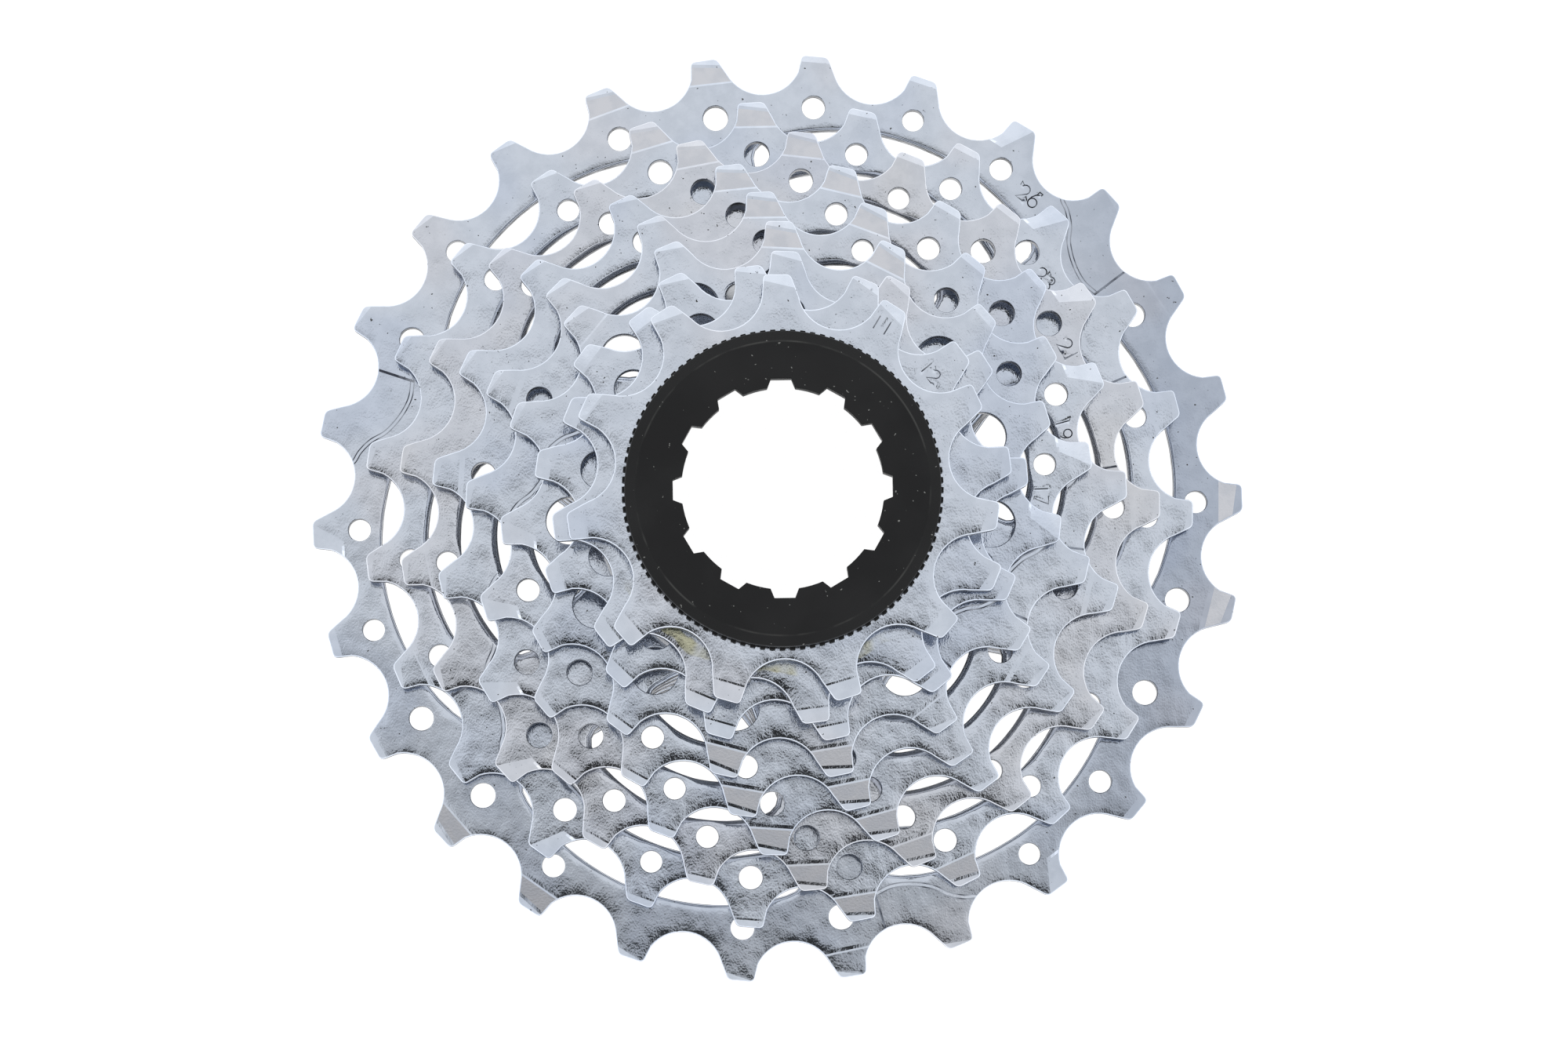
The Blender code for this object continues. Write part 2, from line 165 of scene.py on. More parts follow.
bpy.ops.mesh.primitive_plane_add(size=TABLE_SIZE)
table = bpy.context.object
table.name = "table_top"
table.location.z = -TABLE_DROP * MM
table_paint = bpy.data.materials.new("table_paint")
table_paint.use_nodes = True
paint_tree = table_paint.node_tree
paint = paint_tree.nodes["Principled BSDF"]
paint.inputs["Base Color"].default_value = TABLE_GREY
paint.inputs["Roughness"].default_value = TABLE_ROUGHNESS
paint.inputs["Emission Color"].default_value = GLOW_WHITE
light_path = new_node(paint_tree, "ShaderNodeLightPath").outputs
seen = math_node(paint_tree, "MAXIMUM", light_path["Is Camera Ray"], light_path["Is Glossy Ray"])
seen = math_node(paint_tree, "MAXIMUM", seen, light_path["Is Transmission Ray"])
glow = math_node(paint_tree, "MULTIPLY", seen, TABLE_GLOW)
paint_tree.links.new(glow, paint.inputs["Emission Strength"])
from_below = new_node(paint_tree, "ShaderNodeNewGeometry").outputs["Backfacing"]
clear = new_node(paint_tree, "ShaderNodeBsdfTransparent").outputs[0]
one_sided = new_node(paint_tree, "ShaderNodeMixShader", {0: from_below, 1: paint.outputs[0], 2: clear})
paint_tree.links.new(one_sided.outputs[0], paint_tree.nodes["Material Output"].inputs["Surface"])
table.data.materials.append(table_paint)
print("table size in metres:", TABLE_SIZE)

# %% [markdown]
# ## Plated steel
# The sprockets are punched from steel sheet and plated. The plating is mirror bright, but the
# sheet under it has an orange-peel skin of pebbles a quarter of a millimetre wide. Under an even
# light that skin doesn't show, and where the face rolls towards the dark camera it breaks up into
# black and white grains. Bump from three sizes of noise gives that skin: a slow swell, waves and
# grain. They are squeezed across, since a slope towards the camera shows more than one across it,
# and round grains would look like streaks. The colour drifts a little to blue, rose and straw, as
# thin plating does, and a few dark specks lie in it.


# %% Finish helpers
def noise(tree, place, scale, detail=2.0, roughness=0.5):
    """Values of a noise texture around one half."""
    sockets = {"Vector": place, "Scale": scale, "Detail": detail, "Roughness": roughness}
    return new_node(tree, "ShaderNodeTexNoise", sockets).outputs["Fac"]


def noise_patches(tree, place, scale, low, high, detail=2.0, roughness=0.5):
    """Patches that go from zero to one between two values of a noise."""
    return smooth_range(tree, noise(tree, place, scale, detail, roughness), low, high)


def mix_colour(tree, share, first, second, blend="MIX"):
    """A mix of two colours, which may be values or outputs."""
    sockets = {0: share}
    for number, colour in ((6, first), (7, second)):
        sockets[number] = colour if isinstance(colour, bpy.types.NodeSocket) else (*colour, 1)
    return new_node(tree, "ShaderNodeMix", sockets, data_type="RGBA", blend_type=blend).outputs[2]


def shade_colour(tree, share, colour, shade):
    """A colour that is multiplied by a shade where the share is one."""
    return mix_colour(tree, share, colour, mix_colour(tree, 1.0, colour, shade, "MULTIPLY"))


def new_finish(name, metallic=1.0):
    """A material, its tree, its shader and the place on the piece that its textures follow."""
    material = bpy.data.materials.new(name)
    material.use_nodes = True
    tree = material.node_tree
    shader = tree.nodes["Principled BSDF"]
    shader.inputs["Metallic"].default_value = metallic
    return material, tree, shader, new_node(tree, "ShaderNodeTexCoord").outputs["Object"]


def coat(tree, shader, colour, roughness, skin, skin_depth):
    """Gives a shader its colour, its roughness and a skin raised by up to a depth in metres."""
    bump = new_node(tree, "ShaderNodeBump", {"Height": skin, "Distance": skin_depth, "Strength": 1.0})
    normal = bump.outputs["Normal"]
    for socket, value in (("Base Color", colour), ("Roughness", roughness), ("Normal", normal)):
        tree.links.new(value, shader.inputs[socket])


def axle_distance(tree, place):
    """Distance of a place from the axle."""
    flat = new_node(tree, "ShaderNodeVectorMath", {0: place, 1: (1, 1, 0)}, operation="MULTIPLY").outputs[0]
    return new_node(tree, "ShaderNodeVectorMath", {0: flat}, operation="LENGTH").outputs["Value"]


def ring_share(tree, radius, inner, outer, soft):
    """One between two radii in millimetres, and zero beyond their soft edges."""
    inside = smooth_range(tree, radius, (inner - soft) * MM, inner * MM)
    outside = smooth_range(tree, radius, (outer + soft) * MM, outer * MM)
    return math_node(tree, "MULTIPLY", inside, outside)


print("finish helpers:", [helper.__name__ for helper in (noise_patches, mix_colour, new_finish, coat)])

# %% Plated steel material
STEEL_TINTS = ((0.64, 0.695, 0.80), (0.69, 0.737, 0.82), (0.71, 0.73, 0.79))
STRAW_TINTS = ((0.66, 0.695, 0.78), (0.70, 0.722, 0.78), (0.715, 0.72, 0.75))
TINT_SCALE = 55.0
BLUE_RANGE = (0.5, 0.36)
ROSE_RANGE = (0.54, 0.7)
CLOUDS = dict(scale=450.0, low=0.35, high=0.65, detail=4.0, roughness=0.6)
CLOUD_SHADE = (0.91, 0.915, 0.92)
# Painted shade: a darker colour towards +X stands in for the darker reflection on that side.
PAINTED_RIGHT_SHADE = (0.72, 0.74, 0.78)
PAINTED_SHADE_RANGE = (0.02, 0.046)
TARNISH_TINT = (0.55, 0.54, 0.39)
TARNISH_RADII = (19.0, 20.0)
TARNISH_SOFT = 0.3
TARNISH_PATCHES = dict(scale=180.0, low=0.42, high=0.6)
WOBBLE_SCALE = 300.0
WOBBLE_REACH = 0.002
NEAR_RANGE = (-0.008, -0.014)
SPECK_TINT = (0.08, 0.08, 0.08)
SPECKS = dict(scale=2600.0, low=0.755, high=0.785, detail=1.0)
POLISH_SCALE = 220.0
POLISH_RANGE = (0.3, 0.7)
POLISH_ROUGHNESS = (0.05, 0.09)
SWELL_SCALE = 260.0
WAVE_SCALE = 900.0
GRAIN_SCALE = 3800.0
SWELL_SHARE = 8.0
WAVE_SHARE = 1.3
SKIN_DEPTH = 0.000009
SMOOTHER_SKIN = 0.6
SKIN_SQUEEZE = (1.5, 1.0, 1.0)


def tarnish_share(tree, place, inner, outer):
    """Where a broken yellow ring lies, on the near side only, between two radii in millimetres."""
    offset = math_node(tree, "SUBTRACT", noise(tree, place, WOBBLE_SCALE), 0.5)
    wobble = math_node(tree, "MULTIPLY", offset, WOBBLE_REACH)
    radius = math_node(tree, "ADD", axle_distance(tree, place), wobble)
    ring = ring_share(tree, radius, inner, outer, TARNISH_SOFT)
    patches = noise_patches(tree, place, **TARNISH_PATCHES)
    depth = new_node(tree, "ShaderNodeSeparateXYZ", {0: place}).outputs["Y"]
    near_side = smooth_range(tree, depth, *NEAR_RANGE)
    return math_node(tree, "MULTIPLY", ring, math_node(tree, "MULTIPLY", patches, near_side))


def plated_steel(name, tints=STEEL_TINTS, painted_right_shade=None, skin_depth=SKIN_DEPTH, tarnish=None):
    """Bright plating on rolled sheet, which may be darker to the right as painted shade, or have a yellow
    ring.
    """
    material, tree, shader, place = new_finish(name)
    blue, plain, rose = tints
    drift = noise(tree, place, TINT_SCALE)
    colour = mix_colour(tree, smooth_range(tree, drift, *BLUE_RANGE), plain, blue)
    colour = mix_colour(tree, smooth_range(tree, drift, *ROSE_RANGE), colour, rose)
    clouds = noise_patches(tree, place, **CLOUDS)
    colour = shade_colour(tree, clouds, colour, CLOUD_SHADE)
    # Painted shade: the colour darkens towards +X, in place of the darker reflection there.
    if painted_right_shade:
        to_right = new_node(tree, "ShaderNodeSeparateXYZ", {0: place}).outputs["X"]
        colour = shade_colour(tree, smooth_range(tree, to_right, *PAINTED_SHADE_RANGE), colour, painted_right_shade)
    if tarnish:
        colour = mix_colour(tree, tarnish_share(tree, place, *tarnish), colour, TARNISH_TINT)
    specks = noise_patches(tree, place, **SPECKS)
    colour = mix_colour(tree, specks, colour, SPECK_TINT)
    polish = smooth_range(tree, noise(tree, place, POLISH_SCALE, 3.0), *POLISH_RANGE, *POLISH_ROUGHNESS)
    squeeze = {0: place, 1: SKIN_SQUEEZE}
    squeezed = new_node(tree, "ShaderNodeVectorMath", squeeze, operation="MULTIPLY").outputs[0]
    swell = math_node(tree, "MULTIPLY", noise(tree, squeezed, SWELL_SCALE, 1.0), SWELL_SHARE)
    waves = math_node(tree, "MULTIPLY", noise(tree, squeezed, WAVE_SCALE, 1.0), WAVE_SHARE)
    skin = math_node(tree, "ADD", waves, noise(tree, squeezed, GRAIN_SCALE, 1.0))
    skin = math_node(tree, "ADD", skin, swell)
    coat(tree, shader, colour, polish, skin, skin_depth)
    return material


steel = plated_steel("plated_steel")
bluish_steel = plated_steel("bluish_steel", painted_right_shade=PAINTED_RIGHT_SHADE, skin_depth=SMOOTHER_SKIN * SKIN_DEPTH)
straw_steel = plated_steel("straw_steel", tints=STRAW_TINTS)
tarnished_steel = plated_steel("tarnished_steel", tarnish=TARNISH_RADII)
print("steel nodes:", len(steel.node_tree.nodes))

# %% [markdown]
# ## Four more finishes of steel
# The plating isn't the same all over. Pressed lines are painted dark as painted shade, for the
# shadow that falls in their creases; where a tool has rubbed it it is smooth and grey, the
# punched walls of a plate are torn and dark, and its back is satin. Each of these is a material of
# its own, which a face gets by the number of its material slot.

# %% Finishes of steel
PLATED, PAINTED_CREASE_SHADE, RUBBED, PUNCHED, SATIN = range(5)
DULL_CLOUDS = dict(scale=500.0, low=0.35, high=0.62)
DULL_SKIN_SCALE = 4000.0
DULL_SKIN_DEPTH = 0.00001
RUBBED_SKIN_DEPTH = 0.000003
PALE_POLISH = 0.7


def dull_steel(name, pale, dark, roughness, skin_depth=DULL_SKIN_DEPTH):
    """Steel that is pale in places and dark in others, with a rough skin."""
    material, tree, shader, place = new_finish(name)
    cloud = noise_patches(tree, place, **DULL_CLOUDS)
    polish = smooth_range(tree, cloud, 0.0, 1.0, roughness, PALE_POLISH * roughness)
    skin = noise(tree, place, DULL_SKIN_SCALE)
    coat(tree, shader, mix_colour(tree, cloud, dark, pale), polish, skin, skin_depth)
    return material


# Painted shade: the dark colour of pressed lines stands in for the shadow in their creases.
crease_shade_steel = dull_steel("crease_shade_steel", (0.30, 0.32, 0.36), (0.05, 0.055, 0.07), 0.3)
rubbed_steel = dull_steel(
    "rubbed_steel", (0.72, 0.725, 0.765), (0.67, 0.685, 0.735), 0.14, RUBBED_SKIN_DEPTH
)
punched_steel = dull_steel("punched_steel", (0.15, 0.155, 0.17), (0.05, 0.052, 0.06), 0.4)
satin_steel = dull_steel("satin_steel", (0.66, 0.68, 0.72), (0.58, 0.60, 0.64), 0.4)
print("finishes:", [finish.name for finish in (crease_shade_steel, rubbed_steel, punched_steel, satin_steel)])

# %% [markdown]
# ## Sizes of the teeth
# A chain's pitch is 12.7 mm, so a sprocket's pitch circle follows from its count of teeth alone.
# Half a roller below it lies the root circle. The gaps are arcs that seat the rollers, and the
# tips lean, because the chain pulls one way only. Lengths are in millimetres up to the moment a
# mesh is made.

# %% Tooth form
CHAIN_PITCH = 12.7
ROOT_DEPTH = 3.9
GAP_RADIUS = 4.6
GAP_HALF_ANGLE = 62.0
GAP_STEPS = 16
TIP_BEFORE_AXIS = 1.15
TIP_AFTER_AXIS = 1.85
TIP_CORNER = 0.55
CORNER_STEPS = 5
PLATE_THICKNESS = 1.8
SPROCKET_SPACING = 4.34


def pitch_radius(teeth):
    """Radius of the circle that the chain's pins lie on."""
    return CHAIN_PITCH / (2 * math.sin(math.pi / teeth))


def root_radius(teeth):
    """Radius of the circle through the floors of the gaps."""
    return pitch_radius(teeth) - ROOT_DEPTH


def polar(radius, degrees):
    """A point on the plate at this radius and angle."""
    angle = math.radians(degrees)
    return np.array((radius * math.cos(angle), radius * math.sin(angle)))


def beside_axis(across, outward, degrees):
    """A point given beside and along the direction at this angle."""
    angle = math.radians(degrees)
    along = np.array((math.cos(angle), math.sin(angle)))
    aside = np.array((-math.sin(angle), math.cos(angle)))
    return outward * along + across * aside


print("pitch radius of 26 teeth:", round(pitch_radius(26), 2))

# %% [markdown]
# ## The nine sprockets
# Each row gives what differs from plate to plate: the angle of the first tooth, how far the tips
# stand over the pitch circle, and where its openings lie. The ramps are the teeth whose front is
# pressed back, so that the chain can climb there. The largest plate is flatter than the others, so
# its edges roll less. Plates are listed from the largest, at the back.

# %% Sprocket table
SPROCKETS = (
    dict(teeth=26, angle=2.0, tip_height=0.7, rim_width=3.1, window_foot=22.3, flatness=1.7,
         hole_depth=1.4, hole_swing=0.9, plain=(1, 3, 9, 12, 18, 21), ramps=(3, 12, 21)),
    dict(teeth=23, angle=15.2, tip_height=0.7, rim_width=2.5, window_foot=21.8,
         hole_depth=1.0, hole_swing=0.6, plain=(1, 9, 13, 21), ramps=(1, 13)),
    dict(teeth=21, angle=0.5, tip_height=0.7, rim_width=2.3, window_foot=21.4,
         hole_depth=1.0, hole_swing=0.4, plain=(1, 9, 10, 12, 19, 20), ramps=(1, 12)),
    dict(teeth=19, angle=3.3, tip_height=0.75, rim_width=2.5, window_foot=21.0,
         hole_depth=1.0, hole_swing=0.3, plain=(0, 8, 10), ramps=(0, 10)),
    dict(teeth=17, angle=8.5, tip_height=0.8, rim_width=2.5, window_foot=20.6,
         hole_depth=0.9, hole_swing=0.3, plain=(6, 8, 14, 16), ramps=(8, 16)),
    dict(teeth=15, angle=17.7, tip_height=0.9, hole_depth=2.95, hole_radius=2.65,
         plain=(6, 11, 13), ramps=(6, 13)),
    dict(teeth=13, angle=5.4, tip_height=1.0, hole_depth=2.2, hole_radius=2.1,
         plain=(0, 1, 10, 11, 12), flat_tips=range(5, 12)),
    dict(teeth=12, angle=7.8, tip_height=1.05, flat_tips=range(4, 11), collar_radius=19.6),
    dict(teeth=11, angle=25.2, tip_height=1.4, flat_tips=range(5, 10), collar_radius=18.4),
)


def tooth_angle(sprocket, index):
    """Angle of a tooth's axis."""
    return sprocket["angle"] + index * 360 / sprocket["teeth"]


def plate_base(sprocket):
    """Height of a plate's back over the table."""
    return SPROCKETS.index(sprocket) * SPROCKET_SPACING


print("sprockets:", [sprocket["teeth"] for sprocket in SPROCKETS])

# %% [markdown]
# ## Outlines
# A plate is drawn as closed loops of points: one around the teeth and one for each opening. The
# corners of the tips are rounded with a short curve. Drawing loops, and not cutting solids with
# Booleans, keeps the points in order along each edge, which the rounded edges need later on.


# %% Tooth outline
def rounded_corner(before, corner, after, size):
    """A short curve that replaces a corner between two straight edges."""
    start = corner + (before - corner) * size / np.linalg.norm(before - corner)
    end = corner + (after - corner) * size / np.linalg.norm(after - corner)
    steps = np.linspace(0, 1, CORNER_STEPS)[:, None]
    return (1 - steps) ** 2 * start + 2 * steps * (1 - steps) * corner + steps**2 * end


def gap_arc(sprocket, gap_angle):
    """The round floor between two teeth."""
    centre = root_radius(sprocket["teeth"]) + GAP_RADIUS
    points = []
    for step in range(GAP_STEPS + 1):
        swing = math.radians(GAP_HALF_ANGLE * (2 * step / GAP_STEPS - 1))
        across = GAP_RADIUS * math.sin(swing)
        points.append(beside_axis(across, centre - GAP_RADIUS * math.cos(swing), gap_angle))
    return points


def tooth_outline(sprocket):
    """The loop around all teeth, anticlockwise."""
    teeth = sprocket["teeth"]
    tip = pitch_radius(teeth) + sprocket["tip_height"]
    half_pitch = 180 / teeth
    loop = []
    for index in range(teeth):
        axis = tooth_angle(sprocket, index)
        gap_before = gap_arc(sprocket, axis - half_pitch)
        gap_after = gap_arc(sprocket, axis + half_pitch)
        first = beside_axis(-TIP_BEFORE_AXIS, tip, axis)
        second = beside_axis(TIP_AFTER_AXIS, tip, axis)
        loop.extend(rounded_corner(gap_before[-1], first, second, TIP_CORNER))
        loop.extend(rounded_corner(first, second, gap_after[0], TIP_CORNER))
        loop.extend(gap_after)
    return np.array(loop)


print("points around the largest plate:", len(tooth_outline(SPROCKETS[0])))

# %% [markdown]
# ## Openings
# The bore has nine inward keys, one of them narrow, so that a plate fits the hub one way only. The
# larger plates have six windows between their arms, and most teeth have a round hole under them.
# Both save weight. The rivets go through small holes of their own.

# %% Openings
BORE_RADIUS = 17.4
KEY_DEPTH = 1.2
KEY_COUNT = 9
KEY_WIDTH = 4.6
NARROW_KEY_WIDTH = 3.0
FIRST_KEY_ANGLE = 90.0
KEY_GAP_STEPS = 5
ARM_COUNT = 6
FIRST_WINDOW_ANGLE = 10.0
WINDOW_APEX = 16.9
WINDOW_HALF_ANGLE = 39.0
WINDOW_ARCH_CENTRE = 18.5
WINDOW_CORNER = 2.6
WINDOW_SIDE_SHARE = 0.3
WINDOW_ARCH_SHARE = 0.8
WINDOW_FOOT_SHARE = 0.95
ARCH_STEPS = 33
ARCH_TRIM = 4  # points of the arch that each corner takes up
HOLE_RADIUS = 1.35
HOLE_RADIUS_SWING = 0.1
HOLE_STEPS = 28
LARGE_HOLE = 2.0
CLUSTER_PLATES = 6
RIVET_COUNT = 3
RIVET_CIRCLE = 23.4
FIRST_RIVET_ANGLE = 101.7
RIVET_HOLE = 1.35
RIVET_RECESS = 1.7
RIVET_RECESS_DEPTH = 0.8


def circle(radius, steps, centre=(0.0, 0.0)):
    """An anticlockwise ring of points."""
    return np.array([polar(radius, 360 * step / steps) + centre for step in range(steps)])


def keyed_bore():
    """The bore with its inward keys, of which the first is narrow."""
    loop = []
    for index in range(KEY_COUNT):
        axis = FIRST_KEY_ANGLE + index * 360 / KEY_COUNT
        half = (NARROW_KEY_WIDTH if index == 0 else KEY_WIDTH) / 2
        shoulder = math.sqrt(BORE_RADIUS**2 - half**2)
        tip = BORE_RADIUS - KEY_DEPTH
        loop.extend(beside_axis(side * half, out, axis) for side, out in
                    ((-1, shoulder), (-1, tip), (0, tip), (1, tip), (1, shoulder)))
        turn = math.degrees(math.asin(half / BORE_RADIUS))
        gap = 360 / KEY_COUNT - 2 * turn
        turns = [axis + turn + gap * step / KEY_GAP_STEPS for step in range(1, KEY_GAP_STEPS)]
        loop.extend(polar(BORE_RADIUS, angle) for angle in turns)
    return np.array(loop)


def arm_window(sprocket, index):
    """A window between two arms: two straight sides, an arched rim and a round foot."""
    axis = FIRST_WINDOW_ANGLE + index * 360 / ARM_COUNT
    foot = sprocket["window_foot"]
    rim = root_radius(sprocket["teeth"]) - sprocket["rim_width"]
    slope = math.tan(math.radians(WINDOW_HALF_ANGLE))
    arch = rim - WINDOW_ARCH_CENTRE
    shift = WINDOW_ARCH_CENTRE - WINDOW_APEX
    along = (math.sqrt((1 + slope**2) * arch**2 - (shift * slope) ** 2) - shift * slope**2) / (1 + slope**2)
    swing = math.acos(along / arch)
    steps = np.linspace(swing, -swing, ARCH_STEPS)
    arched = np.stack((arch * np.sin(steps), WINDOW_ARCH_CENTRE + arch * np.cos(steps)), 1)
    foot_half = (foot - WINDOW_APEX) * slope
    right, left = np.array((foot_half, foot)), np.array((-foot_half, foot))
    corner = min(
        WINDOW_CORNER,
        WINDOW_SIDE_SHARE * np.linalg.norm(arched[0] - right),
        WINDOW_ARCH_SHARE * np.linalg.norm(arched[0] - arched[ARCH_TRIM]),
    )
    foot_corner = WINDOW_FOOT_SHARE * foot_half
    loop = [
        *rounded_corner(left, right, arched[0], foot_corner),
        *rounded_corner(right, arched[0], arched[ARCH_TRIM], corner),
        *arched[ARCH_TRIM:-ARCH_TRIM],
        *rounded_corner(arched[-1 - ARCH_TRIM], arched[-1], left, corner),
        *rounded_corner(arched[-1], left, right, foot_corner),
    ]
    return np.array([beside_axis(across, outward, axis) for across, outward in reversed(loop)])


def round_holes(sprocket):
    """Holes under the teeth. On a plate with arms they follow the wave of the windows' edges."""
    loops = []
    for index in range(sprocket["teeth"]):
        if index in sprocket["plain"]:
            continue
        angle = tooth_angle(sprocket, index)
        distance = root_radius(sprocket["teeth"]) - sprocket["hole_depth"]
        radius = sprocket.get("hole_radius", HOLE_RADIUS)
        if "hole_swing" in sprocket:
            wave = math.cos(ARM_COUNT * math.radians(angle - FIRST_WINDOW_ANGLE))
            distance += sprocket["hole_swing"] * wave
            radius -= HOLE_RADIUS_SWING * wave
        steps = HOLE_STEPS if radius < LARGE_HOLE else 2 * HOLE_STEPS
        loops.append(circle(radius, steps, polar(distance, angle)))
    return loops


def rivet_centres():
    """Where the rivets go through."""
    turn = 360 / RIVET_COUNT
    return [polar(RIVET_CIRCLE, FIRST_RIVET_ANGLE + turn * index) for index in range(RIVET_COUNT)]


def rivet_circles(radius):
    """Rings around the rivets."""
    return [circle(radius, HOLE_STEPS, centre) for centre in rivet_centres()]


def openings(sprocket):
    """All loops that are open from front to back, anticlockwise."""
    loops = [keyed_bore()]
    if "rim_width" in sprocket:
        loops += [arm_window(sprocket, index) for index in range(ARM_COUNT)]
    if "plain" in sprocket:
        loops += round_holes(sprocket)
    if SPROCKETS.index(sprocket) < CLUSTER_PLATES:
        loops += rivet_circles(RIVET_HOLE)
    return loops


print("openings of the largest plate:", len(openings(SPROCKETS[0])))

# %% [markdown]
# ## Relief on the front
# The front of a real plate isn't flat. Nearly every tip is chamfered, some straight and some at a
# slant. Some teeth are pressed back as a whole, some have a facet along one flank, and the ramps
# are wide pockets. Each of these is a depth below the front face, and a line where it starts. The
# lines go into the mesh as edges, so that the facets stay crisp, and the depths add up.

# %% Relief helpers
HALF_TOOTH = 5.0
LINE_STEP = 0.4


class Relief:
    """Lines, depths and finishes pressed into one face of a plate."""

    def __init__(self):
        self.lines = []
        self.depths = []
        self.finishes = []
        self.flats = []

    def press(self, lines, depth):
        """Adds lines, as arrays of points, and a function from points to depths."""
        self.lines += [np.array(line) for line in lines]
        self.depths.append(depth)

    def finish(self, number, region):
        """Gives a finish to the faces whose middle is in the region, a function from points to truth."""
        self.finishes.append((number, region))

    def flatten(self, share):
        """Takes away a share of the rolled edges, given as a function of points."""
        self.flats.append(share)

    def roll_left(self, points):
        """What is left of the rolled edges at each point."""
        return math.prod((1 - share(points) for share in self.flats), start=np.ones(len(points)))

    def depth(self, points):
        """Depth below the face at each point."""
        return sum((depth(points) for depth in self.depths), np.zeros(len(points)))

    def finish_at(self, points):
        """Number of the finish at each point."""
        numbers = np.full(len(points), PLATED)
        for number, region in self.finishes:
            numbers[region(points)] = number
        return numbers


def on_tooth(sprocket, index, across, height):
    """The plate's point beside a tooth's axis and over the pitch circle."""
    return beside_axis(across, pitch_radius(sprocket["teeth"]) + height, tooth_angle(sprocket, index))


def tooth_frame(sprocket, index, points):
    """How far points lie beside a tooth's axis and over the pitch circle."""
    angle = math.radians(tooth_angle(sprocket, index))
    outward = points @ np.array((math.cos(angle), math.sin(angle)))
    across = points @ np.array((-math.sin(angle), math.cos(angle)))
    return across, outward - pitch_radius(sprocket["teeth"])


def over_line(sprocket, index, before, after, points):
    """How far points of a tooth lie over a slanted line. It is negative on all other teeth."""
    across, height = tooth_frame(sprocket, index, points)
    line = before + (after - before) * (across + HALF_TOOTH) / (2 * HALF_TOOTH)
    return np.where(np.abs(across) < HALF_TOOTH, height - line, -1.0)


def straight_line(start, end):
    """Points from start to end, close enough to follow the rolled edges of a face."""
    steps = math.ceil(np.linalg.norm(end - start) / LINE_STEP)
    return np.linspace(start, end, steps + 1)


def lines_across(sprocket, index, before, after, lifts):
    """Straight lines across a tooth, each lifted a little over the first."""
    return [
        straight_line(
            on_tooth(sprocket, index, -HALF_TOOTH, before + lift),
            on_tooth(sprocket, index, HALF_TOOTH, after + lift),
        )
        for lift in lifts
    ]


print("points on a line across a tooth:", len(lines_across(SPROCKETS[0], 0, 0.0, 0.0, (0,))[0]))

# %% Chamfered tips
CHAMFER_SLOPE = math.tan(math.radians(19))
LEAD_WIDTH = 0.22
LEAD_SLOPE = math.tan(math.radians(4.5))


def chamfer_tip(relief, sprocket, index, before, after, lead=LEAD_WIDTH):
    """Slopes the tip back from these heights on either side of the tooth, gently and then steeply."""
    def over(points):
        return over_line(sprocket, index, before, after, points)

    def depth(points):
        gentle = np.clip(over(points), 0, lead) * LEAD_SLOPE
        return gentle + np.clip(over(points) - lead, 0, None) * CHAMFER_SLOPE

    relief.press(lines_across(sprocket, index, before, after, (0, lead)), depth)
    relief.finish(PLATED, lambda points: over(points) > 0)


print("chamfer slope:", round(CHAMFER_SLOPE, 3))

# %% Teeth pressed back
STEP_REACH = (0.0, 0.4, 0.62)
STEP_SHARE = (0.0, 0.28, 1.0)


def press_back(relief, sprocket, index, before, after, drop, rubbed):
    """Lowers a tooth at its base, by a gentle slope that ends in a short steep one."""
    def over(points):
        return over_line(sprocket, index, before, after, points)

    def share(points):
        return np.interp(over(points), STEP_REACH, STEP_SHARE)

    lines = lines_across(sprocket, index, before, after, STEP_REACH)
    relief.press(lines, lambda points: share(points) * drop)
    if rubbed:
        relief.finish(RUBBED, lambda points: over(points) > STEP_REACH[-1])
        relief.flatten(share)


print("width of the step at a tooth's base:", STEP_REACH[-1])

# %% Facets along a flank
FACET_TOP = np.array((-1.0, 0.9))
FACET_FOOT = np.array((1.3, -2.9))
FACET_SLOPE = math.tan(math.radians(16))
FOOT_WIDTH = 0.3
FOOT_LEAN = 0.6


def cut_flank(relief, sprocket, index):
    """Slopes one side of a tooth down to its flank, from a slanted line to a short foot."""
    along = (FACET_FOOT - FACET_TOP) / np.linalg.norm(FACET_FOOT - FACET_TOP)
    aside = np.array((-along[1], along[0]))

    def depth(points):
        across, height = tooth_frame(sprocket, index, points)
        beyond = (across - FACET_TOP[0]) * aside[0] + (height - FACET_TOP[1]) * aside[1]
        over_foot = np.clip((height - FACET_FOOT[1]) / FOOT_WIDTH, 0, 1)
        return np.where(np.abs(across) < HALF_TOOTH, np.clip(beyond, 0, None) * FACET_SLOPE * over_foot, 0)

    high = FACET_TOP - along
    lines = [straight_line(on_tooth(sprocket, index, *high), on_tooth(sprocket, index, *FACET_FOOT))]
    for lift in (0, FOOT_WIDTH):
        inner_end = (FACET_FOOT[0] - lift * FOOT_LEAN, FACET_FOOT[1] + lift)
        outer_end = (HALF_TOOTH, FACET_FOOT[1] + lift)
        ends = [on_tooth(sprocket, index, *end) for end in (inner_end, outer_end)]
        lines.append(straight_line(*ends))
    relief.press(lines, depth)


print("length of a facet:", round(float(np.linalg.norm(FACET_FOOT - FACET_TOP)), 2))
